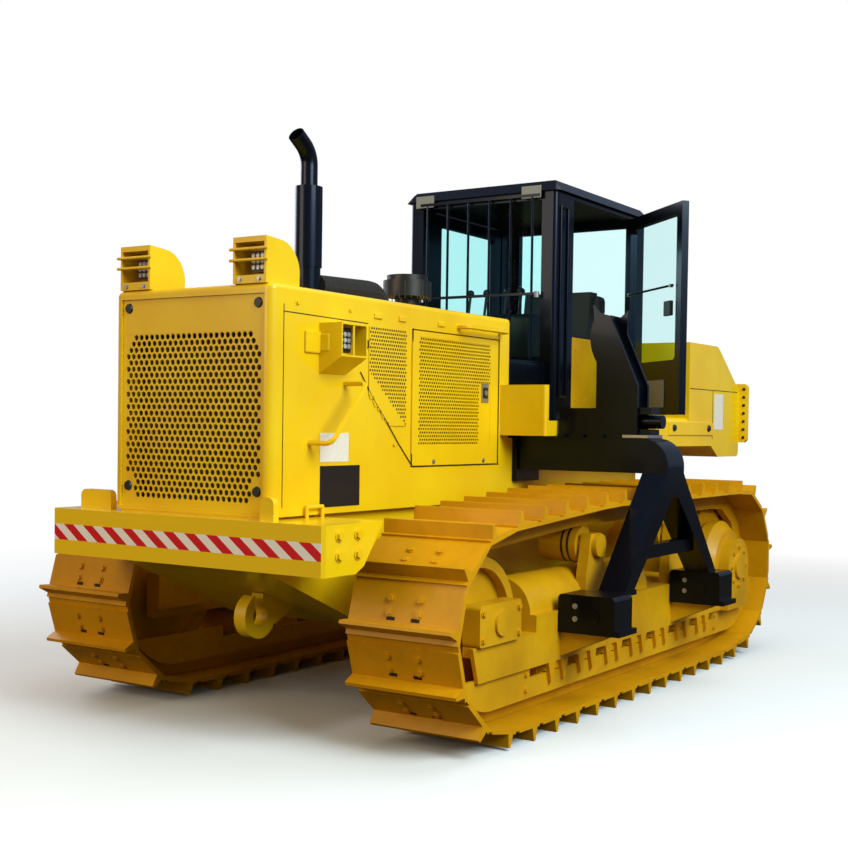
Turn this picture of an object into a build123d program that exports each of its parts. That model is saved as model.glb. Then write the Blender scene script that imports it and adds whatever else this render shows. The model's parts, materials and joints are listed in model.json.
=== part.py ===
from build123d import *
import math
import os

# Pipelayer crawler. Millimetres, +X forward, +Y to the machine's left, +Z up.
# The origin is on the ground, midway between the sprocket and idler axles.

# Track chain and wheels
GAUGE = 1974
SHOE_WIDTH = 588
PITCH = 216
GROUSER_HEIGHT = 62
GROUSER_BASE = 44
GROUSER_TIP = 16
SHOE_LAP = 34
SHOE_STEP = 10
PLATE_OUT = 83
PLATE_THICKNESS = 24
LINK_IN = 45
RAIL_WIDTH = 45
RAIL_SPACING = 160
RUN_GAP = 6
SEAT_GAP = 0.3
AXLE_SPACING = 2960
SPROCKET_TEETH = 24
SPROCKET_Z = 585
SPROCKET_WIDTH = 70
SPROCKET_HUB = 200
IDLER_Z = 540
IDLER_PIN_RADIUS = 390
IDLER_FLANGE = 25
IDLER_HUB = 95
ROLLER_RADIUS = 105
ROLLER_SIDES = 16
ROLLER_MIN_SPACING = 300
ROLLER_FRONT_SET = 609
ROLLER_REAR_SET = 465
GROUND_FRONT_SET = 264
GROUND_REAR_SET = 318
COLLAR_LENGTH = 190
COLLAR_LEG_SPACING = 130
COLLAR_LEG_WIDTH = 76
COLLAR_LEG_TIP = 16
COLLAR_LEG_DROP = 101
CARRIER_RADIUS = 95
CARRIER_Z = 851
CARRIER_STUB = 60
CARRIER_FRONT_SET = 1040
CARRIER_REAR_SET = 860
HUB_RADIUS = 285
HUB_CHAMFER = 55
HUB_BRACKET_RADIUS = 178
HUB_BRACKET_OUTER = 1245
HUB_CAP_RADIUS = 80
HUB_CAP = 17

# Track frame and its guards
FRAME_HALF = 185
FRAME_BOTTOM = 430
FRAME_SHOULDER = 560
FRAME_REAR_SET = 480
SPRING_RADIUS = 170
SPRING_LENGTH = 1350
FORK_HALF = 135
FORK_REACH = 180
FORK_TOP = 478
BLOCK_LENGTH = 366
BLOCK_TOP = 665
BLOCK_HALF = 227
AXLE_CAP = 58
GUARD_THICKNESS = 20
GUARD_BOTTOM = 165
GUARD_STRIP_TOP = 262
GUARD_SIDE_BOTTOM = 313
GUARD_OVERLAP = 12
GUARD_TOE = 52
GUARD_FRONT_SET = 344
GUARD_REAR_SET = 260

# Hull, bumper, hook and drawbar
HULL_HALF = 440
HULL_BOTTOM = 480
HULL_TOP = 1050
HULL_REAR = -1700
HULL_SLOPE = 762
BUMPER_FRONT = 2282
BUMPER_DEPTH = 70
BUMPER_HALF = 834
BUMPER_BOTTOM = 819
BUMPER_TOP = 1038
WING_LENGTH = 350
WING_PLATE = 40
EAR_PLATE = 34
EAR_HEIGHT = 92
LUG_HEIGHT = 104
HOOK_X = 1876
HOOK_Z = 552
HOOK_Y = 100
HOOK_RADIUS = 106
HOOK_THROAT = 50
HOOK_PLATE = 70
SHAFT_Z = 520
BAR_Z = 650
BAR_LENGTH = 380
BAR_WIDTH = 200
BAR_THICKNESS = 110
BAR_PIN_RADIUS = 30

# Engine enclosure
HOOD_HALF = 484
HOOD_FRONT = 2218
HOOD_REAR = 201
HOOD_TOP = 2071
HOOD_SHEET = 30
HOOD_EDGE = 24
HOUSING_DEPTH = 228
HOUSING_CORNER = 40
GRILLE_HALF = 438
GRILLE_MARGIN = 31
GRILLE_SHEET = 14
GRILLE_SET = 10
GRILLE_HOLE = 33
GRILLE_PITCH = 88
KNOB_RADIUS = 26
DOOR_FRONT = 1154
DOOR_REAR = 315
DOOR_BOTTOM = 1258
DOOR_TOP = 1941
DOOR_GAP = 6
DOOR_HOLE = 50
DOOR_PITCH = 84
KNUCKLE_RADIUS = 8
KNUCKLE_LENGTH = 110
LATCH_WIDTH = 45
LATCH_PLATE = 10
STACK_X = 1392
STACK_RADIUS = 69
STACK_FOOT = 62
STACK_PIPE = 43
STACK_WALL = 5
STACK_SHOULDER = 180
STACK_HEIGHT = 585
STACK_NECK = 65
DUCT_RADIUS = 66
DUCT_RISE = 104
DUCT_REACH = 580
DUCT_SIDES = 12
CLEANER_X = 520
CLEANER_RADIUS = 135
CLEANER_NECK = 70
CLEANER_STAND = 110
CLEANER_HEIGHT = 231
CLEANER_LID = 30

# Lamps and rails
LAMP_INNER = 256
LAMP_OUTER = 448
LAMP_HEIGHT = 204
LAMP_DEPTH = 224
LAMP_RECESS = 100
LAMP_WALL = 12
LAMP_SIZE = 92
LAMP_BODY = 40
SIDE_LAMP_FRONT = 1895
SIDE_LAMP_REAR = 1704
SIDE_LAMP_BOTTOM = 1767
SIDE_LAMP_TOP = 1920
SIDE_LAMP_REACH = 129
SIDE_LAMP_SHEET = 8
RAIL_TUBE = 13

# Cab
CAB_HALF = 525
CAB_SHIFT = 25
CAB_FRONT = -215
CAB_REAR = -1465
CAB_FLOOR = 1400
CAB_EAVES = 2860
CAB_WALL = 50
ROOF_HEIGHT = 65
ROOF_LIP = 25
WINDOW_SILL = 1883
WINDOW_HEAD = 48
WINDOW_POST = 100
ROD_RADIUS = 8
ROD_COUNT = 6
ROD_SPACING = 150
CAB_DOOR_FRONT = -440
CAB_DOOR_REAR = -1258
CAB_DOOR_BOTTOM = 1550
CAB_DOOR_HEAD = 35
CAB_DOOR_GAP = 8
CAB_DOOR_RIM = 70
CAB_DOOR_OPEN = 49
CAB_KNUCKLE = 10
CAB_KNUCKLE_LENGTH = 120
CAB_KNUCKLE_SET = 200
GLASS = 6
COWL_TOP = 1850
SHIELD_FRONT = 292
SHIELD_PLATE = 34
SHIELD_OUTER = 778
SHIELD_TOP = 1696
STEP_OUTER = 740
STEP_BOTTOM = 1415
STEP_TOP = 1500
SEAT_X = -980
SEAT_HEIGHT = 350
SEAT_CUSHION = 120
SEAT_DEPTH = 520
SEAT_WIDTH = 500
SEAT_BACK = 500
SEAT_BACK_PLATE = 100
SEAT_RECLINE = 70
CONSOLE_DEPTH = 190
CONSOLE_WIDTH = 620
CONSOLE_RISE = 267

# Fuel tank, fenders and rear guard
TANK_HALF = 880
TANK_FRONT = -1480
TANK_REAR = -2406
TANK_TOP = 2040
TANK_BOTTOM = 1276
TANK_FLOOR = 1353
TANK_SHELF = 660
TANK_STEP = 130
TANK_SLOPE_RUN = 420
TANK_SLOPE_DROP = 295
TANK_EDGE = 40
CAP_RADIUS = 75
CAP_HEIGHT = 44
FENDER_TOP = 1395
FENDER_FRONT = -130
FENDER_BOX_FRONT = -940
FENDER_BOX_TOP = 1540
REAR_GUARD_HALF = 941
REAR_GUARD_BOTTOM = 1376
REAR_GUARD_TOP = 1797
REAR_GUARD_PLATE = 40

# Side frame on the machine's left
BEAM_X = 20
BEAM_WIDTH = 220
BEAM_BOTTOM = 1222
BEAM_TOP = 1410
BEAM_FLANGE = 32
BEAM_FLANGE_DROP = 68
TRACK_CLEARANCE = 4
ELBOW_RADIUS = 150
LEG_DEPTH = 150
LEG_FOOT = 607
LEG_WIDTH = 100
LEG_CROTCH = 1130
BRACE_BOTTOM = 780
BRACE_TOP = 850
BRACE_DEPTH = 70
BOOM_SEAT_LENGTH = 200
BOOM_SEAT_FRONT_SET = 768
BOOM_SEAT_REAR_SET = 604
BOOM_SEAT_WIDTH = 308
BOOM_SEAT_BOTTOM = 455
BOOM_SEAT_TOP = 645
BOOM_SEAT_CORNER = 24
BOOM_SEAT_SLAB = 28
BOOM_SEAT_LIP = 27
FOOT_PLATE = 26
FOOT_PLATE_LENGTH = 190
GUSSET_THICKNESS = 26
GUSSET_DROP = 125
BOOM_PIN_RADIUS = 40
BOOM_PIN_SET = 120
BOOM_PIN_RISE = 85
TOWER_WIDTH = 154
TOWER_PLATE = 20
TOWER_FLANGE = 26
TOWER_FOOT_INNER = 758
TOWER_INNER = 984
TOWER_OUTER = 1234
TOWER_FOOT_TOP = 1573
TOWER_SHOULDER = 1697
TOWER_TOP = 2080
TOWER_HEAD_INNER = 965
TOWER_HEAD_OUTER = 1101
TOWER_BULGE = 944
TOWER_HORN = 63
TOWER_PIN_RADIUS = 37
TOWER_PIN_REACH = 122
TOWER_PIN_Z = 1500

TRACK_Y = GAUGE / 2
PIN_Z = GROUSER_HEIGHT + PLATE_OUT
SPROCKET_X = -AXLE_SPACING / 2
SPROCKET_PIN_RADIUS = SPROCKET_TEETH / 2 * PITCH / (2 * math.pi)
ROLLER_Z = PIN_Z + LINK_IN + SEAT_GAP + ROLLER_RADIUS
ROLLER_SPAN = AXLE_SPACING - ROLLER_FRONT_SET - ROLLER_REAR_SET
ROLLER_COUNT = int(ROLLER_SPAN // ROLLER_MIN_SPACING) + 1
ROLLER_SPACING = ROLLER_SPAN / (ROLLER_COUNT - 1)
ROLLER_X = [-SPROCKET_X - ROLLER_FRONT_SET - ROLLER_SPACING * i for i in range(ROLLER_COUNT)]
CARRIER_X = (-SPROCKET_X - CARRIER_FRONT_SET, SPROCKET_X + CARRIER_REAR_SET)
IDLER_RADIUS = math.sqrt(IDLER_PIN_RADIUS**2 - (PITCH / 2) ** 2) - LINK_IN - RUN_GAP
RAIL_INNER = (RAIL_SPACING - RAIL_WIDTH) / 2
RAIL_OUTER = (RAIL_SPACING + RAIL_WIDTH) / 2
HULL_FRONT = BUMPER_FRONT - BUMPER_DEPTH
WINDOW_TOP = CAB_EAVES - WINDOW_HEAD
WINDOW_HALF = CAB_HALF - WINDOW_POST
CAB_DOOR_TOP = CAB_EAVES - CAB_DOOR_HEAD

pieces = {}


def side_plane(y):
    """Drawing plane at this y with X to the right and Z up; extrude by a negative amount for +Y."""
    return Plane.XZ.offset(-y)


def belly(x):
    """Height of the hull's sloped front underside at this x."""
    knee = HULL_FRONT - HULL_SLOPE
    return HULL_BOTTOM + (BUMPER_BOTTOM - HULL_BOTTOM) * (x - knee) / HULL_SLOPE


def pin_loop(idler_x):
    """Taut line through the chain pins round the wheels, flat on the ground past the end rollers."""
    roll = ROLLER_Z - PIN_Z
    carry = CARRIER_RADIUS + RUN_GAP + LINK_IN
    # wheel centre x, z and the radius of the pin line on it
    wheels = [(SPROCKET_X, SPROCKET_Z, SPROCKET_PIN_RADIUS), (idler_x, IDLER_Z, IDLER_PIN_RADIUS)]
    wheels += [(x, CARRIER_Z, carry) for x in CARRIER_X]
    ground_ends = (-SPROCKET_X - GROUND_FRONT_SET, SPROCKET_X + GROUND_REAR_SET)
    wheels += [(x, ROLLER_Z, roll) for x in ground_ends]
    with BuildSketch() as outline:
        for x, z, radius in wheels:
            with Locations((x, z)):
                Circle(radius)
        make_hull()
    return outline.face().outer_wire()


# The idler slides in its fork until the loop is a whole number of shoes long
slack_loop = pin_loop(-SPROCKET_X)
SHOE_COUNT = round(slack_loop.length / PITCH)
IDLER_X = -SPROCKET_X + (SHOE_COUNT * PITCH - slack_loop.length) / 2
FRAME_FRONT = IDLER_X - IDLER_RADIUS - IDLER_FLANGE - 3 * RUN_GAP
FRAME_REAR = SPROCKET_X + FRAME_REAR_SET
SPRING_REAR = FRAME_FRONT - SPRING_LENGTH
FORK_FRONT = IDLER_X + FORK_REACH
loop = pin_loop(IDLER_X)
step = loop.length / SHOE_COUNT
pins = [loop.position_at(step * i, position_mode=PositionMode.LENGTH) for i in range(SHOE_COUNT)]
if Wire.make_polygon(pins).normal().Z < 0:
    pins.reverse()


def outward(a, b):
    """Unit normal of the shoe between two pins, pointing out of the loop."""
    along = (b - a).normalized()
    return Vector(along.Y, -along.X)


def loop_corners(distance):
    """The pin polygon, moved outwards by this distance with mitred corners."""
    corners = []
    for i, pin in enumerate(pins):
        n1 = outward(pins[i - 1], pin)
        n2 = outward(pin, pins[(i + 1) % SHOE_COUNT])
        corners.append(pin + (n1 + n2) * (distance / (1 + n1.dot(n2))))
    return corners


def shoe_outline():
    """Outer outline of the loop: each shoe has one tapered grouser and a lip under the next shoe."""
    plate = loop_corners(PLATE_OUT)
    lips = loop_corners(PLATE_OUT - SHOE_STEP)
    outline = []
    for i, corner in enumerate(plate):
        end = plate[(i + 1) % SHOE_COUNT]
        along = (end - corner).normalized()
        out = outward(corner, end)
        foot = corner + along * GROUSER_BASE
        tip = foot + out * GROUSER_HEIGHT
        half_foot = along * (GROUSER_BASE / 2)
        half_tip = along * (GROUSER_TIP / 2)
        lap = end - along * SHOE_LAP
        outline += [corner, foot - half_foot, tip - half_tip, tip + half_tip, foot + half_foot]
        outline += [lap, lap - out * SHOE_STEP, lips[(i + 1) % SHOE_COUNT]]
    return outline


# Track loops: shoes with one grouser each on two link rails
with BuildPart() as left_track:
    plate_inside = loop_corners(PLATE_OUT - PLATE_THICKNESS)
    with BuildSketch(side_plane(TRACK_Y - SHOE_WIDTH / 2)):
        Polygon(*shoe_outline(), align=None)
        Polygon(*plate_inside, align=None, mode=Mode.SUBTRACT)
    extrude(amount=-SHOE_WIDTH)
    for side in (-1, 1):
        with BuildSketch(side_plane(TRACK_Y + side * RAIL_SPACING / 2 - RAIL_WIDTH / 2)):
            Polygon(*plate_inside, align=None)
            Polygon(*loop_corners(-LINK_IN), align=None, mode=Mode.SUBTRACT)
        extrude(amount=-RAIL_WIDTH)
pieces["left_track"] = left_track

with BuildPart() as right_track:
    mirror(left_track.part, about=Plane.XZ)
pieces["right_track"] = right_track

# Sprockets: a toothed ring between the link rails on a wider hub
HUB_HALF = SPROCKET_WIDTH / 2 + 25
with BuildPart() as sprockets:
    tooth_root = SPROCKET_PIN_RADIUS - 60
    tooth_tip = SPROCKET_PIN_RADIUS + 20
    with BuildSketch(side_plane(TRACK_Y - SPROCKET_WIDTH / 2)):
        with Locations((SPROCKET_X, SPROCKET_Z)):
            Circle(tooth_root)
            with PolarLocations(0, SPROCKET_TEETH):
                with Locations(((tooth_root + tooth_tip) / 2 - 10, 0)):
                    Trapezoid(60, tooth_tip - tooth_root + 20, 80, rotation=-90)
    extrude(amount=-SPROCKET_WIDTH)
    with BuildSketch(side_plane(TRACK_Y - HUB_HALF)):
        with Locations((SPROCKET_X, SPROCKET_Z)):
            Circle(SPROCKET_HUB)
    extrude(amount=-2 * HUB_HALF)
    mirror(about=Plane.XZ)
pieces["sprockets"] = sprockets

FRAME_SIDE = TRACK_Y + FRAME_HALF
GUARD_SIDE = FRAME_SIDE + GUARD_THICKNESS

# Final drives: the casing from the hull to the sprocket and the chamfered cover outside it
with BuildPart() as final_drives:
    with BuildSketch(Plane.XY.offset(SPROCKET_Z)):
        with BuildLine():
            shoe_inner = TRACK_Y - SHOE_WIDTH / 2
            Polyline(
                (SPROCKET_X, HULL_HALF),
                (SPROCKET_X + HUB_RADIUS + 40, HULL_HALF),
                (SPROCKET_X + HUB_RADIUS + 40, shoe_inner),
                (SPROCKET_X + HUB_RADIUS - 35, shoe_inner),
                (SPROCKET_X + HUB_RADIUS - 35, TRACK_Y - HUB_HALF),
                (SPROCKET_X, TRACK_Y - HUB_HALF),
                close=True,
            )
        make_face()
        with BuildLine():
            Polyline(
                (SPROCKET_X, TRACK_Y + HUB_HALF),
                (SPROCKET_X + HUB_RADIUS, TRACK_Y + HUB_HALF),
                (SPROCKET_X + HUB_RADIUS, FRAME_SIDE - HUB_CHAMFER),
                (SPROCKET_X + HUB_RADIUS - HUB_CHAMFER, FRAME_SIDE),
                (SPROCKET_X, FRAME_SIDE),
                close=True,
            )
        make_face()
    revolve(axis=Axis((SPROCKET_X, 0, SPROCKET_Z), (0, 1, 0)))
    mirror(about=Plane.XZ)
pieces["final_drives"] = final_drives

# Idlers: rim treads for the rails, a guide flange between them and a thinner web
with BuildPart() as idlers:
    with BuildSketch(Plane.XY.offset(IDLER_Z)):
        with BuildLine():
            Polyline(
                (IDLER_X, TRACK_Y - FORK_HALF),
                (IDLER_X + IDLER_HUB, TRACK_Y - FORK_HALF),
                (IDLER_X + IDLER_HUB, TRACK_Y - RAIL_INNER),
                (IDLER_X + IDLER_RADIUS - 50, TRACK_Y - RAIL_INNER),
                (IDLER_X + IDLER_RADIUS - 50, TRACK_Y - RAIL_OUTER - RUN_GAP),
                (IDLER_X + IDLER_RADIUS, TRACK_Y - RAIL_OUTER - RUN_GAP),
                (IDLER_X + IDLER_RADIUS, TRACK_Y - RAIL_INNER + RUN_GAP),
                (IDLER_X + IDLER_RADIUS + IDLER_FLANGE, TRACK_Y - RAIL_INNER + RUN_GAP),
                (IDLER_X + IDLER_RADIUS + IDLER_FLANGE, TRACK_Y),
                (IDLER_X, TRACK_Y),
                close=True,
            )
        make_face()
        mirror(about=Plane.XZ.offset(-TRACK_Y))
    revolve(axis=Axis((IDLER_X, 0, IDLER_Z), (0, 1, 0)))
    mirror(about=Plane.XZ)
pieces["idlers"] = idlers

# Idler blocks on the fork, the outer ones with a rounded outline and an axle cap
with BuildPart() as idler_blocks:
    block_height = BLOCK_TOP - FORK_TOP
    with BuildSketch(side_plane(TRACK_Y + FORK_HALF)):
        with Locations((IDLER_X, FORK_TOP + block_height / 2)):
            RectangleRounded(BLOCK_LENGTH, block_height, 20)
    extrude(amount=-(BLOCK_HALF - FORK_HALF))
    with BuildSketch(side_plane(TRACK_Y + BLOCK_HALF)):
        with Locations((IDLER_X, FORK_TOP + block_height / 2)):
            Circle(AXLE_CAP)
    extrude(amount=-14)
    with Locations((IDLER_X, TRACK_Y - (BLOCK_HALF + FORK_HALF) / 2, FORK_TOP + block_height / 2)):
        Box(BLOCK_LENGTH, BLOCK_HALF - FORK_HALF, block_height)
    mirror(about=Plane.XZ)
pieces["idler_blocks"] = idler_blocks

# Bottom rollers with end collars under the track frame, the outer ones on two pointed legs each
with BuildPart() as track_rollers:
    strip_half = FRAME_HALF - GUARD_THICKNESS
    collar_width = strip_half - FORK_HALF
    collar_bottom = ROLLER_Z - 50
    link_bottom = GUARD_STRIP_TOP + RUN_GAP
    leg_top = GUARD_SIDE_BOTTOM
    for x in ROLLER_X:
        with BuildSketch(side_plane(TRACK_Y - FORK_HALF)):
            with Locations((x, ROLLER_Z)):
                RegularPolygon(ROLLER_RADIUS, ROLLER_SIDES)
        extrude(amount=-2 * FORK_HALF)
        for side in (-1, 1):
            collar_y = TRACK_Y + side * (FORK_HALF + collar_width / 2)
            with Locations((x, collar_y, (collar_bottom + FRAME_BOTTOM) / 2)):
                Box(COLLAR_LENGTH, collar_width, FRAME_BOTTOM - collar_bottom)
        with Locations((x, FRAME_SIDE - GUARD_THICKNESS / 2, (link_bottom + leg_top) / 2)):
            Box(COLLAR_LENGTH, GUARD_THICKNESS, leg_top - link_bottom)
        with BuildSketch(side_plane(FRAME_SIDE)):
            for leg_x in (x - COLLAR_LEG_SPACING / 2, x + COLLAR_LEG_SPACING / 2):
                with BuildLine():
                    Polyline(
                        (leg_x - COLLAR_LEG_WIDTH / 2, leg_top),
                        (leg_x - COLLAR_LEG_TIP / 2, leg_top - COLLAR_LEG_DROP),
                        (leg_x + COLLAR_LEG_TIP / 2, leg_top - COLLAR_LEG_DROP),
                        (leg_x + COLLAR_LEG_WIDTH / 2, leg_top),
                        close=True,
                    )
                make_face()
        extrude(amount=-GUARD_THICKNESS)
    mirror(about=Plane.XZ)
pieces["track_rollers"] = track_rollers

# Carrier rollers, each cantilevered inwards from a bracket on the track frame
BRACKET_Y = TRACK_Y + RAIL_OUTER + 4 * RUN_GAP
with BuildPart() as carrier_rollers:
    for x in CARRIER_X:
        with BuildSketch(Plane.XY.offset(CARRIER_Z)):
            with BuildLine():
                tread_edge = RAIL_OUTER + RUN_GAP
                Polyline(
                    (x, TRACK_Y - tread_edge),
                    (x + CARRIER_RADIUS, TRACK_Y - tread_edge),
                    (x + CARRIER_RADIUS, TRACK_Y + tread_edge),
                    (x + CARRIER_STUB, TRACK_Y + tread_edge),
                    (x + CARRIER_STUB, BRACKET_Y),
                    (x, BRACKET_Y),
                    close=True,
                )
            make_face()
        revolve(axis=Axis((x, 0, CARRIER_Z), (0, 1, 0)))
    mirror(about=Plane.XZ)
pieces["carrier_rollers"] = carrier_rollers

BOOM_SEAT_X = (BEAM_X + BOOM_SEAT_FRONT_SET, BEAM_X - BOOM_SEAT_REAR_SET)
BOOM_SEAT_OUTER = GUARD_SIDE + BOOM_SEAT_WIDTH


def track_frame(side, gusset_x):
    """Track frame beam with its rounded spring housing, idler fork and carrier brackets."""
    y = side * TRACK_Y
    with BuildPart() as beam:
        with BuildSketch(Plane.YZ.offset(FRAME_REAR)):
            with Locations((y, (FRAME_BOTTOM + FRAME_SHOULDER) / 2)):
                Rectangle(2 * FRAME_HALF, FRAME_SHOULDER - FRAME_BOTTOM)
            with Locations((y, (FORK_TOP + FRAME_SHOULDER) / 2)):
                Rectangle(2 * (FRAME_HALF + GUARD_THICKNESS), FRAME_SHOULDER - FORK_TOP)
        extrude(amount=FRAME_FRONT - FRAME_REAR)
        with BuildSketch(Plane.YZ.offset(SPRING_REAR)):
            with Locations((y, FRAME_SHOULDER)):
                Circle(SPRING_RADIUS)
            with Locations((y, FRAME_SHOULDER - SPRING_RADIUS)):
                Rectangle(2 * SPRING_RADIUS + 2, 2 * SPRING_RADIUS, mode=Mode.SUBTRACT)
        extrude(amount=FRAME_FRONT - SPRING_REAR)
        fork_wall = FRAME_HALF - FORK_HALF
        fork_middle = (FRAME_FRONT + FORK_FRONT) / 2
        for edge in (-1, 1):
            fork_y = y + edge * (FORK_HALF + fork_wall / 2)
            with Locations((fork_middle, fork_y, (FRAME_BOTTOM + FORK_TOP) / 2)):
                Box(FORK_FRONT - FRAME_FRONT, fork_wall, FORK_TOP - FRAME_BOTTOM)
        for x in CARRIER_X:
            floor = FRAME_SHOULDER if x < SPRING_REAR else FRAME_SHOULDER + SPRING_RADIUS / 2
            with BuildSketch(side_plane(side * BRACKET_Y)):
                with BuildLine():
                    Polyline(
                        (x - 110, floor - 40),
                        (x + 110, floor - 40),
                        (x + 110, floor + 50),
                        (x + CARRIER_STUB, CARRIER_Z + CARRIER_STUB),
                        (x - CARRIER_STUB, CARRIER_Z + CARRIER_STUB),
                        (x - 110, floor + 50),
                        close=True,
                    )
                make_face()
            extrude(amount=-side * (FRAME_SIDE - BRACKET_Y))
            with BuildSketch(side_plane(side * FRAME_SIDE)):
                with Locations((x, CARRIER_Z)):
                    Circle(CARRIER_STUB)
            extrude(amount=-side * CARRIER_STUB / 2)
        for x in gusset_x:
            with BuildSketch(Plane.YZ.offset(x)):
                with BuildLine():
                    gusset_outer = BOOM_SEAT_OUTER - 60
                    Polyline(
                        (GUARD_SIDE, BOOM_SEAT_BOTTOM - GUSSET_DROP),
                        (GUARD_SIDE, BOOM_SEAT_BOTTOM),
                        (gusset_outer, BOOM_SEAT_BOTTOM),
                        (gusset_outer, BOOM_SEAT_BOTTOM - 14),
                        close=True,
                    )
                make_face()
            extrude(amount=GUSSET_THICKNESS / 2, both=True)
    return beam


gussets = [x + side * BOOM_SEAT_LENGTH * 0.3 for x in BOOM_SEAT_X for side in (-1, 1)]
pieces["left_track_frame"] = track_frame(1, gussets)
pieces["right_track_frame"] = track_frame(-1, [])

# Guards: a low strip on both sides of the rollers, round under the wheels, and outside it a side
# plate along the whole frame that ends in the bracket for the final drive's outer bearing
with BuildPart() as roller_guards:
    guard_top = GUARD_SIDE_BOTTOM + GUARD_OVERLAP
    strip_height = GUARD_STRIP_TOP - GUARD_BOTTOM
    front_edge = IDLER_X - GUARD_FRONT_SET
    rear_edge = SPROCKET_X + GUARD_REAR_SET
    with BuildSketch(side_plane(FRAME_SIDE - GUARD_THICKNESS)):
        for x, z in ((IDLER_X, IDLER_Z), (SPROCKET_X, SPROCKET_Z)):
            with Locations((x, z)):
                Circle(z - GUARD_BOTTOM)
        with Locations((0, (GUARD_BOTTOM + guard_top) / 2)):
            Rectangle(2 * AXLE_SPACING, guard_top - GUARD_BOTTOM, mode=Mode.INTERSECT)
        # plate from each wheel's middle to its straight edge, and the strip between
        for wheel, edge, top in (
            (IDLER_X, front_edge, guard_top),
            (SPROCKET_X, rear_edge, guard_top),
            (SPROCKET_X, IDLER_X, GUARD_STRIP_TOP),
        ):
            with Locations(((wheel + edge) / 2, (GUARD_BOTTOM + top) / 2)):
                Rectangle(abs(wheel - edge), top - GUARD_BOTTOM)
        with Locations(((front_edge + rear_edge) / 2, (GUARD_STRIP_TOP + guard_top) / 2)):
            Rectangle(front_edge - rear_edge, guard_top - GUARD_STRIP_TOP, mode=Mode.SUBTRACT)
    extrude(amount=-GUARD_THICKNESS)
    mirror(about=side_plane(TRACK_Y))
    toe = FORK_FRONT + GUARD_TOE / 2
    heel = SPROCKET_X - SPROCKET_PIN_RADIUS + GUARD_TOE
    with BuildSketch(side_plane(FRAME_SIDE)):
        with BuildLine():
            Polyline(
                (toe, FORK_TOP),
                (toe - GUARD_TOE, GUARD_SIDE_BOTTOM),
                (heel + GUARD_TOE, GUARD_SIDE_BOTTOM),
                (heel, FORK_TOP),
                close=True,
            )
        make_face()
    extrude(amount=-GUARD_THICKNESS)
    with BuildSketch(side_plane(FRAME_SIDE)):
        with Locations((SPROCKET_X, SPROCKET_Z)):
            Circle(HUB_BRACKET_RADIUS)
        with Locations((SPROCKET_X, (GUARD_SIDE_BOTTOM + SPROCKET_Z) / 2)):
            Rectangle(2 * HUB_BRACKET_RADIUS, SPROCKET_Z - GUARD_SIDE_BOTTOM)
    extrude(amount=FRAME_SIDE - HUB_BRACKET_OUTER)
    with BuildSketch(side_plane(HUB_BRACKET_OUTER)):
        with Locations((SPROCKET_X, SPROCKET_Z)):
            Circle(HUB_CAP_RADIUS)
    extrude(amount=-HUB_CAP)
    mirror(about=Plane.XZ)
pieces["roller_guards"] = roller_guards

# Shafts that carry the hull on the track frames
with BuildPart() as cross_shafts:
    # shaft x and radius
    for x, radius in ((FRAME_REAR + 240, 105), (FRAME_FRONT - 200, 80)):
        with BuildSketch(side_plane(HULL_HALF)):
            with Locations((x, SHAFT_Z)):
                Circle(radius)
        extrude(amount=-(TRACK_Y - FRAME_HALF - GUARD_THICKNESS - HULL_HALF))
    mirror(about=Plane.XZ)
pieces["cross_shafts"] = cross_shafts

# Hull with its sloped belly
with BuildPart() as main_frame:
    with BuildSketch(side_plane(-HULL_HALF)):
        with BuildLine():
            Polyline(
                (HULL_REAR, HULL_TOP),
                (HULL_REAR, HULL_BOTTOM + 120),
                (HULL_REAR + 160, HULL_BOTTOM),
                (HULL_FRONT - HULL_SLOPE, HULL_BOTTOM),
                (HULL_FRONT, BUMPER_BOTTOM),
                (HULL_FRONT, HULL_TOP),
                close=True,
            )
        make_face()
    extrude(amount=-2 * HULL_HALF)
pieces["main_frame"] = main_frame

# Bumper: a front plate with a wing at each end and a deck behind it, an ear to the right of the
# hood and a narrow lug at the hood's left corner
with BuildPart() as front_bumper:
    with Locations((HULL_FRONT + BUMPER_DEPTH / 2, 0, (BUMPER_BOTTOM + BUMPER_TOP) / 2)):
        Box(BUMPER_DEPTH, 2 * BUMPER_HALF, BUMPER_TOP - BUMPER_BOTTOM)
    chamfer(front_bumper.edges().filter_by(Axis.Z).group_by(Axis.X)[-1], 14)
    with BuildSketch(side_plane(BUMPER_HALF - WING_PLATE)):
        with BuildLine():
            Polyline(
                (HULL_FRONT, BUMPER_BOTTOM),
                (HULL_FRONT, BUMPER_TOP),
                (HULL_FRONT - WING_LENGTH, BUMPER_TOP),
                (HULL_FRONT - 0.6 * WING_LENGTH, BUMPER_BOTTOM + 31),
                (HULL_FRONT - 0.43 * WING_LENGTH, BUMPER_BOTTOM),
                close=True,
            )
        make_face()
    extrude(amount=-WING_PLATE)
    with BuildSketch(Plane.XY.offset(BUMPER_TOP - 30)):
        with Locations((HULL_FRONT - WING_LENGTH / 2, (HULL_HALF + BUMPER_HALF - WING_PLATE) / 2)):
            Rectangle(WING_LENGTH, BUMPER_HALF - WING_PLATE - HULL_HALF)
    extrude(amount=30)
    mirror(about=Plane.XZ)
    # first x of the plate, y of its two sides and height
    for x, inner, outer, height in (
        (HULL_FRONT - 2 * EAR_PLATE, -HOOD_HALF - 61, 2 * WING_PLATE - BUMPER_HALF, EAR_HEIGHT),
        (HOOD_FRONT, HOOD_HALF - 28, HOOD_HALF + 50, LUG_HEIGHT),
    ):
        with BuildSketch(Plane.YZ.offset(x)):
            with Locations(((inner + outer) / 2, BUMPER_TOP)):
                RectangleRounded(abs(outer - inner), 2 * height, 0.35 * EAR_HEIGHT)
            with Locations(((inner + outer) / 2, BUMPER_TOP - height)):
                Rectangle(2 * EAR_HEIGHT + abs(outer - inner), 2 * height, mode=Mode.SUBTRACT)
        extrude(amount=EAR_PLATE)
pieces["front_bumper"] = front_bumper

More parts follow.
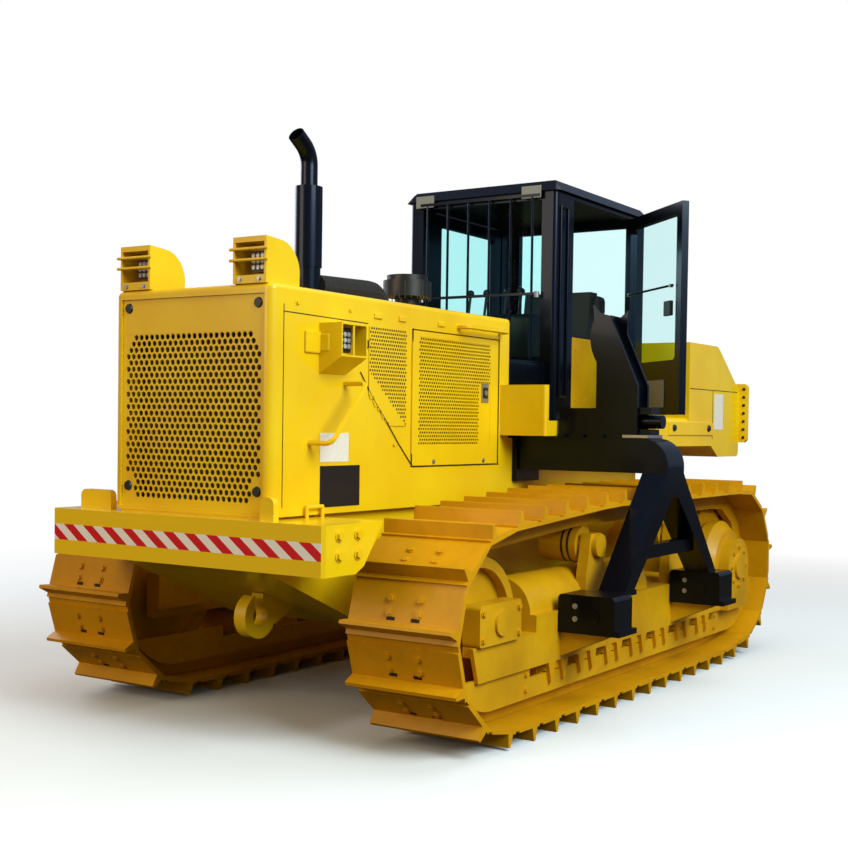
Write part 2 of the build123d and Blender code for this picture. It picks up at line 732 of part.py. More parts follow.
# Tow hook: a plate with an open throat, welded to the belly by its shank
with BuildPart() as tow_hook:
    with BuildSketch(side_plane(HOOK_Y - HOOK_PLATE / 2)):
        with Locations((HOOK_X, HOOK_Z)):
            Circle(HOOK_RADIUS)
            Circle(HOOK_THROAT, mode=Mode.SUBTRACT)
            with Locations((0.1 * HOOK_RADIUS, 0.75 * HOOK_RADIUS)):
                Rectangle(1.1 * HOOK_THROAT, HOOK_RADIUS, mode=Mode.SUBTRACT)
        with BuildLine():
            shank_front = HOOK_X - HOOK_THROAT
            shank_rear = HOOK_X - 2.2 * HOOK_RADIUS
            Polyline(
                (shank_front, HOOK_Z),
                (shank_front, belly(shank_front)),
                (shank_rear, belly(shank_rear)),
                (HOOK_X - HOOK_RADIUS, HOOK_Z - HOOK_THROAT),
                close=True,
            )
        make_face()
        with Locations((HOOK_X, HOOK_Z)):
            Circle(HOOK_THROAT, mode=Mode.SUBTRACT)
    extrude(amount=-HOOK_PLATE)
pieces["tow_hook"] = tow_hook

# Engine and radiator core inside the enclosure
with BuildPart() as engine_block:
    engine_front = HOOD_FRONT - HOUSING_DEPTH - 390
    engine_rear = HOOD_REAR + 150
    engine_top = HOOD_TOP - 220
    with Locations(((engine_front + engine_rear) / 2, 0, (HULL_TOP + engine_top) / 2)):
        Box(engine_front - engine_rear, 2 * HOOD_HALF - 268, engine_top - HULL_TOP)
pieces["engine_block"] = engine_block

HOUSING_MIDDLE = (HULL_TOP + HOOD_TOP - GRILLE_MARGIN) / 2
TUNNEL_HEIGHT = HOOD_TOP - HULL_TOP - GRILLE_MARGIN - 26
with BuildPart() as radiator_housing:
    with Locations((HOOD_FRONT - HOUSING_DEPTH / 2, 0, (HULL_TOP + HOOD_TOP) / 2)):
        Box(HOUSING_DEPTH, 2 * HOOD_HALF, HOOD_TOP - HULL_TOP)
    fillet(radiator_housing.edges().filter_by(Axis.Z).group_by(Axis.X)[-1], HOUSING_CORNER)
    fillet(radiator_housing.edges().filter_by(Axis.X).group_by(Axis.Z)[-1], HOOD_EDGE)
    with BuildSketch(Plane.YZ.offset(HOOD_FRONT - HOUSING_DEPTH)):
        with Locations((0, HOUSING_MIDDLE)):
            Rectangle(2 * (GRILLE_HALF + SEAT_GAP), TUNNEL_HEIGHT)
    extrude(amount=HOUSING_DEPTH, mode=Mode.SUBTRACT)
pieces["radiator_housing"] = radiator_housing

with BuildPart() as radiator_core:
    with Locations((HOOD_FRONT - 0.7 * HOUSING_DEPTH, 0, HOUSING_MIDDLE - 20)):
        Box(HOUSING_DEPTH / 2, 2 * GRILLE_HALF - 60, TUNNEL_HEIGHT - 40)
pieces["radiator_core"] = radiator_core


def perforation(columns, rows, pitch, keep):
    """Staggered hole centres about the origin, six to a neighbourhood, where keep(u, v) holds."""
    row_height = pitch * math.sqrt(3) / 2
    spots = []
    for row in range(rows):
        v = (row - (rows - 1) / 2) * row_height
        shift = pitch / 2 if row % 2 else 0
        for column in range(columns):
            u = (column - (columns - 1) / 2) * pitch + shift - pitch / 4
            if keep(u, v):
                spots.append((u, v))
    return spots


# Front grille: a sheet with a staggered field, cut off at its corners round four knobs
with BuildPart() as front_grille:
    grille_height = TUNNEL_HEIGHT - 2 * SEAT_GAP
    knob_y = GRILLE_HALF - 1.6 * KNOB_RADIUS
    knob_z = grille_height / 2 - 2.6 * KNOB_RADIUS
    columns = int(2 * (GRILLE_HALF - KNOB_RADIUS) / GRILLE_PITCH)
    rows = int((grille_height - 150) / (GRILLE_PITCH * math.sqrt(3) / 2))
    reach = knob_y + knob_z - 3.2 * KNOB_RADIUS - GRILLE_HOLE
    field = perforation(columns, rows, GRILLE_PITCH, lambda u, v: abs(u) + abs(v) < reach)
    with BuildSketch(Plane.YZ.offset(HOOD_FRONT - GRILLE_SET - GRILLE_SHEET)):
        with Locations((0, HOUSING_MIDDLE)):
            Rectangle(2 * GRILLE_HALF, grille_height)
            with Locations(*field):
                RegularPolygon(GRILLE_HOLE, 6, mode=Mode.SUBTRACT)
    extrude(amount=GRILLE_SHEET)
    with BuildSketch(Plane.YZ.offset(HOOD_FRONT - GRILLE_SET)):
        with Locations((0, HOUSING_MIDDLE)):
            with GridLocations(2 * knob_y, 2 * knob_z, 2, 2):
                RegularPolygon(KNOB_RADIUS, 12)
    extrude(amount=GRILLE_SET - 2)
pieces["front_grille"] = front_grille

HOOD_BACK = HOOD_FRONT - HOUSING_DEPTH
with BuildPart() as hood_top:
    with Locations(((HOOD_REAR + HOOD_BACK) / 2, 0, HOOD_TOP - HOOD_SHEET / 2)):
        Box(HOOD_BACK - HOOD_REAR, 2 * HOOD_HALF, HOOD_SHEET)
    fillet(hood_top.edges().filter_by(Axis.X).group_by(Axis.Z)[-1], HOOD_EDGE)
pieces["hood_top"] = hood_top

# Hood sides with the engine door's opening and a perforated triangle ahead of it
DOOR_MIDDLE_X = (DOOR_FRONT + DOOR_REAR) / 2
DOOR_MIDDLE_Z = (DOOR_TOP + DOOR_BOTTOM) / 2
DOOR_WIDTH = DOOR_FRONT - DOOR_REAR
DOOR_HEIGHT = DOOR_TOP - DOOR_BOTTOM
with BuildPart() as hood_sides:
    vent_width = 0.42 * DOOR_WIDTH
    vent_height = 0.7 * DOOR_HEIGHT
    vent_columns = int(vent_width / DOOR_PITCH)
    vent_rows = int(vent_height / (DOOR_PITCH * math.sqrt(3) / 2))
    slope = vent_height / vent_width
    vent = perforation(
        vent_columns, vent_rows, DOOR_PITCH, lambda u, v: v > slope * u - DOOR_PITCH / 2
    )
    with BuildSketch(side_plane(HOOD_HALF - HOOD_SHEET)):
        with Locations(((HOOD_REAR + HOOD_BACK) / 2, (HULL_TOP + HOOD_TOP - HOOD_SHEET) / 2)):
            Rectangle(HOOD_BACK - HOOD_REAR, HOOD_TOP - HOOD_SHEET - HULL_TOP)
        with Locations((DOOR_MIDDLE_X, DOOR_MIDDLE_Z)):
            Rectangle(DOOR_WIDTH + 2 * DOOR_GAP, DOOR_HEIGHT + 2 * DOOR_GAP, mode=Mode.SUBTRACT)
        with Locations((DOOR_FRONT + 50 + vent_width / 2, DOOR_TOP - 40 - vent_height / 2)):
            with Locations(*vent):
                RegularPolygon(DOOR_HOLE / 2, 6, mode=Mode.SUBTRACT)
    extrude(amount=-HOOD_SHEET)
    mirror(about=Plane.XZ)
pieces["hood_sides"] = hood_sides

HINGE_X = DOOR_FRONT + DOOR_GAP / 2
HINGE_Y = HOOD_HALF + KNUCKLE_RADIUS

# Engine doors with a perforated field, hinge knuckles on the front edge and a latch at the rear
with BuildPart() as left_engine_door:
    with BuildSketch(side_plane(HOOD_HALF - HOOD_SHEET)):
        with Locations((DOOR_MIDDLE_X, DOOR_MIDDLE_Z)):
            Rectangle(DOOR_WIDTH, DOOR_HEIGHT)
    extrude(amount=-HOOD_SHEET)
    for z in (DOOR_BOTTOM + KNUCKLE_LENGTH, DOOR_TOP - KNUCKLE_LENGTH):
        with Locations((HINGE_X, HINGE_Y, z)):
            Cylinder(KNUCKLE_RADIUS, KNUCKLE_LENGTH)
            with Locations((-20, -KNUCKLE_RADIUS / 2, 0)):
                Box(40, KNUCKLE_RADIUS, KNUCKLE_LENGTH)
    with Locations((DOOR_REAR + LATCH_WIDTH, HOOD_HALF + LATCH_PLATE / 2, DOOR_MIDDLE_Z + 50)):
        Box(LATCH_WIDTH, LATCH_PLATE, 2 * LATCH_WIDTH)
    field_columns = int(0.8 * DOOR_WIDTH / DOOR_PITCH)
    field_rows = int(0.8 * DOOR_HEIGHT / DOOR_PITCH)
    with BuildSketch(side_plane(HOOD_HALF - HOOD_SHEET)):
        with Locations((DOOR_MIDDLE_X + 30, DOOR_MIDDLE_Z + 36)):
            with GridLocations(DOOR_PITCH, DOOR_PITCH, field_columns, field_rows):
                Rectangle(DOOR_HOLE, DOOR_HOLE)
    extrude(amount=-HOOD_SHEET, mode=Mode.SUBTRACT)
pieces["left_engine_door"] = left_engine_door

with BuildPart() as right_engine_door:
    mirror(left_engine_door.part, about=Plane.XZ)
pieces["right_engine_door"] = right_engine_door

# Exhaust stack with a forward bend at its tip, and the wrapped duct that feeds it
with BuildPart() as exhaust_stack:
    neck = HOOD_TOP + STACK_HEIGHT
    pipe_top = neck + STACK_NECK
    with BuildSketch(Plane.XZ):
        with BuildLine():
            Polyline(
                (STACK_X, HOOD_TOP),
                (STACK_X + STACK_FOOT, HOOD_TOP),
                (STACK_X + STACK_FOOT, HOOD_TOP + STACK_SHOULDER),
                (STACK_X + STACK_RADIUS, HOOD_TOP + STACK_SHOULDER),
                (STACK_X + STACK_RADIUS, neck),
                (STACK_X + STACK_PIPE, neck),
                (STACK_X + STACK_PIPE, pipe_top),
                (STACK_X, pipe_top),
                close=True,
            )
        make_face()
    revolve(axis=Axis((STACK_X, 0, 0), (0, 0, 1)))
    with BuildLine(Plane.XZ) as tail:
        rise = Line((STACK_X, pipe_top), (STACK_X, pipe_top + STACK_PIPE))
        bend = JernArc(rise @ 1, (0, 1), 2.8 * STACK_PIPE, -55)
        Line(bend @ 1, bend @ 1 + (bend % 1) * (1.5 * STACK_PIPE))
    with BuildSketch(Plane(origin=(STACK_X, 0, pipe_top), z_dir=(0, 0, 1))):
        Circle(STACK_PIPE)
    sweep(path=tail.wires()[0])
    tail_end = tail.wires()[0]
    with BuildSketch(Plane(origin=tail_end @ 1, z_dir=tail_end % 1)):
        Circle(STACK_PIPE - STACK_WALL)
    extrude(amount=-1.4 * STACK_PIPE, mode=Mode.SUBTRACT)
pieces["exhaust_stack"] = exhaust_stack

with BuildPart() as exhaust_elbow:
    with BuildLine(Plane.XZ) as route:
        duct_z = HOOD_TOP + DUCT_RISE
        duct_rear = STACK_X - DUCT_REACH
        FilletPolyline(
            (STACK_X, duct_z - 20),
            (duct_rear, duct_z),
            (duct_rear - DUCT_RISE / 2, HOOD_TOP - DUCT_RADIUS),
            radius=1.6 * DUCT_RADIUS,
        )
    duct_path = route.wires()[0]
    with BuildSketch(Plane(origin=duct_path @ 0, z_dir=duct_path % 0)):
        RegularPolygon(DUCT_RADIUS, DUCT_SIDES)
    sweep(path=duct_path)
    split(bisect_by=Plane.XY.offset(HOOD_TOP))
    split(bisect_by=Plane.YZ.offset(STACK_X - STACK_FOOT), keep=Keep.BOTTOM)
pieces["exhaust_elbow"] = exhaust_elbow

with BuildPart() as air_precleaner:
    with BuildSketch(Plane.XZ):
        with BuildLine():
            bowl = HOOD_TOP + CLEANER_STAND
            crown = HOOD_TOP + CLEANER_HEIGHT
            Polyline(
                (CLEANER_X, HOOD_TOP),
                (CLEANER_X + CLEANER_NECK, HOOD_TOP),
                (CLEANER_X + CLEANER_NECK, bowl),
                (CLEANER_X + CLEANER_RADIUS, bowl),
                (CLEANER_X + CLEANER_RADIUS, crown - CLEANER_LID),
                (CLEANER_X + 0.85 * CLEANER_RADIUS, crown - CLEANER_LID),
                (CLEANER_X + 0.85 * CLEANER_RADIUS, crown),
                (CLEANER_X, crown),
                close=True,
            )
        make_face()
    revolve(axis=Axis((CLEANER_X, 0, 0), (0, 0, 1)))
pieces["air_precleaner"] = air_precleaner

# Front lamp boxes on the hood's corners: open in front behind two bars, rounded down to the rear
LAMP_MIDDLE = (LAMP_INNER + LAMP_OUTER) / 2
LAMP_WIDTH = LAMP_OUTER - LAMP_INNER
LAMP_Z = HOOD_TOP + LAMP_HEIGHT / 2
LAMP_BACK = HOOD_FRONT - LAMP_RECESS
with BuildPart() as lamp_boxes:
    with BuildSketch(side_plane(LAMP_INNER)):
        with BuildLine():
            crest = (HOOD_FRONT - LAMP_DEPTH / 2, HOOD_TOP + LAMP_HEIGHT - 10)
            tail = (HOOD_FRONT - LAMP_DEPTH, HOOD_TOP + 35)
            Polyline(
                tail,
                (HOOD_FRONT - LAMP_DEPTH, HOOD_TOP),
                (HOOD_FRONT, HOOD_TOP),
                (HOOD_FRONT, HOOD_TOP + LAMP_HEIGHT),
                crest,
            )
            RadiusArc(crest, tail, -0.63 * LAMP_DEPTH)
        make_face()
    extrude(amount=-LAMP_WIDTH)
    with BuildSketch(Plane.YZ.offset(LAMP_BACK)):
        with Locations((LAMP_MIDDLE, LAMP_Z + LAMP_WALL / 2)):
            Rectangle(LAMP_WIDTH - 2 * LAMP_WALL, LAMP_HEIGHT - 5 * LAMP_WALL)
    extrude(amount=LAMP_RECESS, mode=Mode.SUBTRACT)
    for z in (LAMP_Z, LAMP_Z + 4 * LAMP_WALL):
        with Locations((HOOD_FRONT - LAMP_WALL / 2, LAMP_MIDDLE, z)):
            Box(LAMP_WALL, LAMP_WIDTH, LAMP_WALL)
    mirror(about=Plane.XZ)
pieces["lamp_boxes"] = lamp_boxes

# Side lamp box, open towards the boom's side over a sloped gusset
SIDE_LAMP_MIDDLE = (SIDE_LAMP_FRONT + SIDE_LAMP_REAR) / 2
SIDE_LAMP_OUTER = HOOD_HALF + SIDE_LAMP_REACH
with BuildPart() as side_lamp_box:
    lamp_length = SIDE_LAMP_FRONT - SIDE_LAMP_REAR
    lamp_rise = SIDE_LAMP_TOP - SIDE_LAMP_BOTTOM
    with BuildSketch(side_plane(HOOD_HALF)):
        with Locations((SIDE_LAMP_MIDDLE, (SIDE_LAMP_BOTTOM + SIDE_LAMP_TOP) / 2)):
            Rectangle(lamp_length, lamp_rise)
    extrude(amount=-SIDE_LAMP_REACH)
    with BuildSketch(side_plane(HOOD_HALF + SIDE_LAMP_SHEET)):
        with Locations((SIDE_LAMP_MIDDLE, (SIDE_LAMP_BOTTOM + SIDE_LAMP_TOP) / 2)):
            Rectangle(lamp_length - 2 * SIDE_LAMP_SHEET, lamp_rise - 2 * SIDE_LAMP_SHEET)
    extrude(amount=-SIDE_LAMP_REACH, mode=Mode.SUBTRACT)
    with BuildSketch(Plane.YZ.offset(SIDE_LAMP_REAR)):
        with BuildLine():
            Polyline(
                (HOOD_HALF, SIDE_LAMP_BOTTOM),
                (SIDE_LAMP_OUTER, SIDE_LAMP_BOTTOM),
                (HOOD_HALF, SIDE_LAMP_BOTTOM - 0.6 * SIDE_LAMP_REACH),
                close=True,
            )
        make_face()
    extrude(amount=lamp_length)
pieces["side_lamp_box"] = side_lamp_box

with BuildPart() as headlamps:
    with BuildSketch(Plane.YZ.offset(LAMP_BACK)):
        with Locations((LAMP_MIDDLE, LAMP_Z)):
            RectangleRounded(LAMP_SIZE, LAMP_SIZE, LAMP_WALL)
    extrude(amount=LAMP_BODY)
    mirror(about=Plane.XZ)
    with BuildSketch(side_plane(HOOD_HALF + SIDE_LAMP_SHEET)):
        with Locations((SIDE_LAMP_MIDDLE + 20, (SIDE_LAMP_BOTTOM + SIDE_LAMP_TOP) / 2)):
            RectangleRounded(0.5 * lamp_length, lamp_rise - 5 * SIDE_LAMP_SHEET, 12)
    extrude(amount=-0.6 * SIDE_LAMP_REACH)
pieces["headlamps"] = headlamps

# Bent guard bar by the side lamp and a grab rail over each engine door
with BuildPart() as grab_rails:
    rail_out = SIDE_LAMP_OUTER
    bar_high = (SIDE_LAMP_REAR, SIDE_LAMP_BOTTOM - 0.75 * lamp_rise)
    bar_low = (SIDE_LAMP_FRONT + 0.33 * lamp_length, bar_high[1] - 1.45 * lamp_length)
    with BuildLine() as bar:
        FilletPolyline(
            (bar_high[0], HOOD_HALF, bar_high[1]),
            (bar_high[0], rail_out, bar_high[1]),
            (bar_low[0], rail_out, bar_low[1]),
            (bar_low[0], HOOD_HALF, bar_low[1]),
            radius=2.5 * RAIL_TUBE,
        )
    with BuildSketch(Plane(origin=bar.wires()[0] @ 0, z_dir=(0, 1, 0))):
        RegularPolygon(RAIL_TUBE, 6)
    sweep(path=bar.wires()[0])
    rail_z = DOOR_TOP + 45
    with BuildLine() as rail:
        FilletPolyline(
            (DOOR_REAR + 0.5 * DOOR_WIDTH, HOOD_HALF, rail_z),
            (DOOR_REAR + 0.5 * DOOR_WIDTH, HOOD_HALF + 5 * RAIL_TUBE, rail_z),
            (DOOR_REAR, HOOD_HALF + 5 * RAIL_TUBE, rail_z),
            (DOOR_REAR, HOOD_HALF, rail_z),
            radius=2.5 * RAIL_TUBE,
        )
    with BuildSketch(Plane(origin=rail.wires()[0] @ 0, z_dir=(0, 1, 0))):
        RegularPolygon(RAIL_TUBE, 6)
    sweep(path=rail.wires()[0])
    mirror(grab_rails.solids().sort_by(Axis.Z)[-1], about=Plane.XZ)
pieces["grab_rails"] = grab_rails

# Base under the cab, cowl, shields with the steps behind them, and fenders
with BuildPart() as cab_base:
    with Locations(((CAB_REAR + HOOD_REAR) / 2, 0, (HULL_TOP + CAB_FLOOR) / 2)):
        Box(HOOD_REAR - CAB_REAR, 2 * HOOD_HALF, CAB_FLOOR - HULL_TOP)
pieces["cab_base"] = cab_base

with BuildPart() as cowl:
    with Locations(((CAB_FRONT + HOOD_REAR) / 2, 0, (CAB_FLOOR + COWL_TOP) / 2)):
        Box(HOOD_REAR - CAB_FRONT, 2 * HOOD_HALF, COWL_TOP - CAB_FLOOR)
    fillet(cowl.edges().filter_by(Axis.X).group_by(Axis.Z)[-1], HOOD_EDGE)
pieces["cowl"] = cowl

with BuildPart() as side_boxes:
    shield_rear = SHIELD_FRONT - SHIELD_PLATE
    step_rear = CAB_FRONT + 30
    shield_middle = (HOOD_HALF + SHIELD_OUTER) / 2
    step_middle = ((shield_rear + step_rear) / 2, (HOOD_HALF + STEP_OUTER) / 2)
    with Locations((SHIELD_FRONT - SHIELD_PLATE / 2, shield_middle, (STEP_BOTTOM + SHIELD_TOP) / 2)):
        Box(SHIELD_PLATE, SHIELD_OUTER - HOOD_HALF, SHIELD_TOP - STEP_BOTTOM)
    fillet(side_boxes.edges().filter_by(Axis.Z).group_by(Axis.Y)[-1].sort_by(Axis.X)[-1:], SHIELD_PLATE / 2)
    with Locations((*step_middle, (STEP_BOTTOM + STEP_TOP) / 2)):
        Box(shield_rear - step_rear, STEP_OUTER - HOOD_HALF, STEP_TOP - STEP_BOTTOM)
    mirror(about=Plane.XZ)
pieces["side_boxes"] = side_boxes

with BuildPart() as fenders:
    fender_sheet = FENDER_TOP - TANK_FLOOR
    fender_middle = (TANK_FRONT + FENDER_FRONT) / 2
    with Locations((fender_middle, (HOOD_HALF + TANK_HALF) / 2, FENDER_TOP - fender_sheet / 2)):
        Box(FENDER_FRONT - TANK_FRONT, TANK_HALF - HOOD_HALF, fender_sheet)
    box_inner = CAB_HALF + CAB_SHIFT + 5
    box_middle = ((TANK_FRONT + FENDER_BOX_FRONT) / 2, (box_inner + TANK_HALF) / 2)
    with Locations((*box_middle, (FENDER_TOP + FENDER_BOX_TOP) / 2)):
        Box(FENDER_BOX_FRONT - TANK_FRONT, TANK_HALF - box_inner, FENDER_BOX_TOP - FENDER_TOP)
    fillet(fenders.edges().filter_by(Axis.X).group_by(Axis.Z)[-1].sort_by(Axis.Y)[-1:], TANK_EDGE)
    mirror(about=Plane.XZ)
pieces["fenders"] = fenders

# Cab shell with its window and door openings
CAB_LENGTH = CAB_FRONT - CAB_REAR
CAB_MIDDLE = (CAB_FRONT + CAB_REAR) / 2
WINDOW_MIDDLE = (WINDOW_SILL + WINDOW_TOP) / 2
CAB_DOOR_MIDDLE = (CAB_DOOR_FRONT + CAB_DOOR_REAR) / 2
CAB_DOOR_WIDTH = CAB_DOOR_FRONT - CAB_DOOR_REAR
CAB_DOOR_HEIGHT = CAB_DOOR_TOP - CAB_DOOR_BOTTOM
with BuildPart() as cab_frame:
    with Locations((CAB_MIDDLE, 0, (CAB_FLOOR + CAB_EAVES) / 2)):
        Box(CAB_LENGTH, 2 * CAB_HALF, CAB_EAVES - CAB_FLOOR)
    fillet(cab_frame.edges().filter_by(Axis.Z), 30)
    with Locations((CAB_MIDDLE, 0, (CAB_FLOOR + CAB_EAVES) / 2)):
        Box(
            CAB_LENGTH - 2 * CAB_WALL,
            2 * (CAB_HALF - CAB_WALL),
            CAB_EAVES - CAB_FLOOR,
            mode=Mode.SUBTRACT,
        )
    with BuildSketch(Plane.YZ.offset(CAB_REAR)):
        with Locations((0, WINDOW_MIDDLE)):
            Rectangle(2 * WINDOW_HALF, WINDOW_TOP - WINDOW_SILL)
    extrude(amount=CAB_LENGTH, mode=Mode.SUBTRACT)
    with BuildSketch(side_plane(-CAB_HALF)):
        with Locations((CAB_DOOR_MIDDLE, CAB_DOOR_BOTTOM + CAB_DOOR_HEIGHT / 2)):
            Rectangle(CAB_DOOR_WIDTH + 2 * CAB_DOOR_GAP, CAB_DOOR_HEIGHT + 2 * CAB_DOOR_GAP)
    extrude(amount=-2 * CAB_HALF, mode=Mode.SUBTRACT)
pieces["cab_frame"] = cab_frame

with BuildPart() as cab_roof:
    with BuildSketch(Plane.XY.offset(CAB_EAVES)):
        with Locations((CAB_MIDDLE, 0)):
            RectangleRounded(CAB_LENGTH + 2 * ROOF_LIP, 2 * (CAB_HALF + ROOF_LIP), 40)
    extrude(amount=ROOF_HEIGHT, taper=40)
pieces["cab_roof"] = cab_roof

with BuildPart() as cab_glass:
    for x in (CAB_FRONT - CAB_WALL / 2, CAB_REAR + CAB_WALL / 2):
        with Locations((x, 0, WINDOW_MIDDLE)):
            Box(GLASS, 2 * WINDOW_HALF, WINDOW_TOP - WINDOW_SILL)
pieces["cab_glass"] = cab_glass

# Rods in front of the windscreen, on two bars that stand off the cab
with BuildPart() as window_guard:
    guard_x = CAB_FRONT + 3 * ROD_RADIUS
    bar_heights = (WINDOW_SILL - 3 * ROD_RADIUS, WINDOW_TOP + 3 * ROD_RADIUS)
    waist = WINDOW_SILL + 0.4 * (WINDOW_TOP - WINDOW_SILL)
    for i in range(ROD_COUNT):
        with BuildSketch(Plane.XY.offset(bar_heights[0])):
            with Locations((guard_x, (i - (ROD_COUNT - 1) / 2) * ROD_SPACING)):
                RegularPolygon(ROD_RADIUS, 8)
        extrude(amount=bar_heights[1] - bar_heights[0])
    for z in (*bar_heights, waist):
        with Locations((guard_x, 0, z)):
            Box(2 * ROD_RADIUS, 2 * WINDOW_HALF, 2 * ROD_RADIUS)
    for z in bar_heights:
        with Locations((CAB_FRONT + ROD_RADIUS, 0, z)):
            with GridLocations(0, 2 * WINDOW_HALF - 20, 1, 2):
                Box(2 * ROD_RADIUS, 20, 2 * ROD_RADIUS)
pieces["window_guard"] = window_guard

# Operator's seat on its pedestal and the console ahead of it
with BuildPart() as operator_seat:
    cushion = CAB_FLOOR + SEAT_HEIGHT
    lap = cushion + SEAT_CUSHION
    back_foot = SEAT_X - SEAT_DEPTH / 2
    with Locations((SEAT_X, 0, (CAB_FLOOR + cushion) / 2)):
        Box(0.8 * SEAT_DEPTH, 0.8 * SEAT_WIDTH, SEAT_HEIGHT)
    with Locations((SEAT_X, 0, cushion + SEAT_CUSHION / 2)):
        Box(SEAT_DEPTH, SEAT_WIDTH, SEAT_CUSHION)
    with BuildSketch(side_plane(-SEAT_WIDTH / 2)):
        with BuildLine():
            Polyline(
                (back_foot, lap),
                (back_foot + SEAT_BACK_PLATE, lap),
                (back_foot + SEAT_BACK_PLATE - SEAT_RECLINE, lap + SEAT_BACK),
                (back_foot - SEAT_RECLINE, lap + SEAT_BACK),
                close=True,
            )
        make_face()
    extrude(amount=-SEAT_WIDTH)
pieces["operator_seat"] = operator_seat

with BuildPart() as control_console:
    console_front = CAB_FRONT - CAB_WALL - 10
    console_top = WINDOW_SILL + CONSOLE_RISE
    with Locations((console_front - CONSOLE_DEPTH / 2, 0, (CAB_FLOOR + console_top) / 2)):
        Box(CONSOLE_DEPTH, CONSOLE_WIDTH, console_top - CAB_FLOOR)
    fillet(control_console.edges().filter_by(Axis.Y).group_by(Axis.Z)[-1], 40)
pieces["control_console"] = control_console

CAB_HINGE_X = CAB_DOOR_REAR - CAB_DOOR_GAP / 2
CAB_HINGE_Y = CAB_HALF + CAB_KNUCKLE


def cab_door(side, angle):
    """Cab door frame and its glass, hinged on the rear edge and turned open by this angle."""
    pane_width = CAB_DOOR_WIDTH - 2 * CAB_DOOR_RIM
    pane_top = CAB_DOOR_TOP - CAB_DOOR_RIM
    pane_middle = (pane_top + WINDOW_SILL) / 2
    pane_height = pane_top - WINDOW_SILL
    leaf_inner = CAB_HALF - CAB_WALL + GLASS
    with BuildPart() as leaf:
        with BuildSketch(side_plane(side * leaf_inner)):
            with Locations((CAB_DOOR_MIDDLE, CAB_DOOR_BOTTOM + CAB_DOOR_HEIGHT / 2)):
                Rectangle(CAB_DOOR_WIDTH, CAB_DOOR_HEIGHT)
            with Locations((CAB_DOOR_MIDDLE, pane_middle)):
                RectangleRounded(pane_width, pane_height, 30, mode=Mode.SUBTRACT)
        extrude(amount=-side * (CAB_HALF - leaf_inner))
        for z in (CAB_DOOR_BOTTOM + CAB_KNUCKLE_SET, CAB_DOOR_TOP - CAB_KNUCKLE_SET):
            with Locations((CAB_HINGE_X, side * CAB_HINGE_Y, z)):
                Cylinder(CAB_KNUCKLE, CAB_KNUCKLE_LENGTH)
                with Locations((1.5 * CAB_KNUCKLE, -side * CAB_KNUCKLE / 2, 0)):
                    Box(3 * CAB_KNUCKLE, CAB_KNUCKLE, CAB_KNUCKLE_LENGTH)
    with BuildPart() as pane:
        with BuildSketch(side_plane(side * (CAB_HALF - CAB_WALL / 2))):
            with Locations((CAB_DOOR_MIDDLE, pane_middle)):
                RectangleRounded(pane_width, pane_height, 30)
        extrude(amount=-side * GLASS)
    hinge = Axis((CAB_HINGE_X, side * CAB_HINGE_Y, 0), (0, 0, side))
    leaf.part = leaf.part.rotate(hinge, angle)
    pane.part = pane.part.rotate(hinge, angle)
    return leaf, pane


pieces["left_door"], pieces["left_door_glass"] = cab_door(1, CAB_DOOR_OPEN)
pieces["right_door"], pieces["right_door_glass"] = cab_door(-1, 0)

# The cab stands a little to the left of the machine's centre plane
for label in (
    "cab_frame",
    "cab_roof",
    "cab_glass",
    "window_guard",
    "operator_seat",
    "control_console",
    "left_door",
    "left_door_glass",
    "right_door",
    "right_door_glass",
):
    pieces[label].part = pieces[label].part.moved(Location((0, CAB_SHIFT, 0)))

# Fuel tank across the rear, its support, the guard behind it and the drawbar
with BuildPart() as fuel_tank:
    with BuildSketch(side_plane(-TANK_HALF)):
        with BuildLine():
            slope_foot = TANK_TOP - TANK_SLOPE_DROP
            shelf = TANK_FRONT - TANK_SHELF + 2 * TANK_STEP
            Polyline(
                (TANK_FRONT, TANK_TOP),
                (TANK_REAR + TANK_SLOPE_RUN, TANK_TOP),
                (TANK_REAR, slope_foot),
                (TANK_REAR, TANK_BOTTOM),
                (shelf - TANK_STEP, TANK_BOTTOM),
                (shelf, TANK_FLOOR),
                (TANK_FRONT, TANK_FLOOR),
                close=True,
            )
        make_face()
        fillet(vertices().group_by(Axis.Y)[-1].sort_by(Axis.X)[0], 3 * TANK_EDGE)
        fillet(vertices().group_by(Axis.X)[0], TANK_EDGE)
    extrude(amount=-2 * TANK_HALF)
    with Locations((TANK_FRONT - 0.3 * TANK_SHELF, 0, TANK_TOP + CAP_HEIGHT / 2)):
        Cylinder(CAP_RADIUS, CAP_HEIGHT)
pieces["fuel_tank"] = fuel_tank

with BuildPart() as tank_support:
    with Locations(((HULL_REAR + TANK_FRONT) / 2, 0, (HULL_TOP + TANK_FLOOR) / 2)):
        Box(TANK_FRONT - HULL_REAR, 2 * HULL_HALF - 80, TANK_FLOOR - HULL_TOP)
pieces["tank_support"] = tank_support

with BuildPart() as rear_guard:
    guard_height = REAR_GUARD_TOP - REAR_GUARD_BOTTOM
    with BuildSketch(Plane.YZ.offset(TANK_REAR - REAR_GUARD_PLATE)):
        with Locations((0, (REAR_GUARD_BOTTOM + REAR_GUARD_TOP) / 2)):
            Rectangle(2 * REAR_GUARD_HALF, guard_height)
            with GridLocations(0, guard_height / 3, 1, 2):
                SlotOverall(1.2 * REAR_GUARD_HALF, guard_height / 7, mode=Mode.SUBTRACT)
    extrude(amount=REAR_GUARD_PLATE)
    chamfer(rear_guard.edges().filter_by(Axis.X).group_by(SortBy.LENGTH)[0].sort_by(Axis.Y)[-2:], 20)
pieces["rear_guard"] = rear_guard

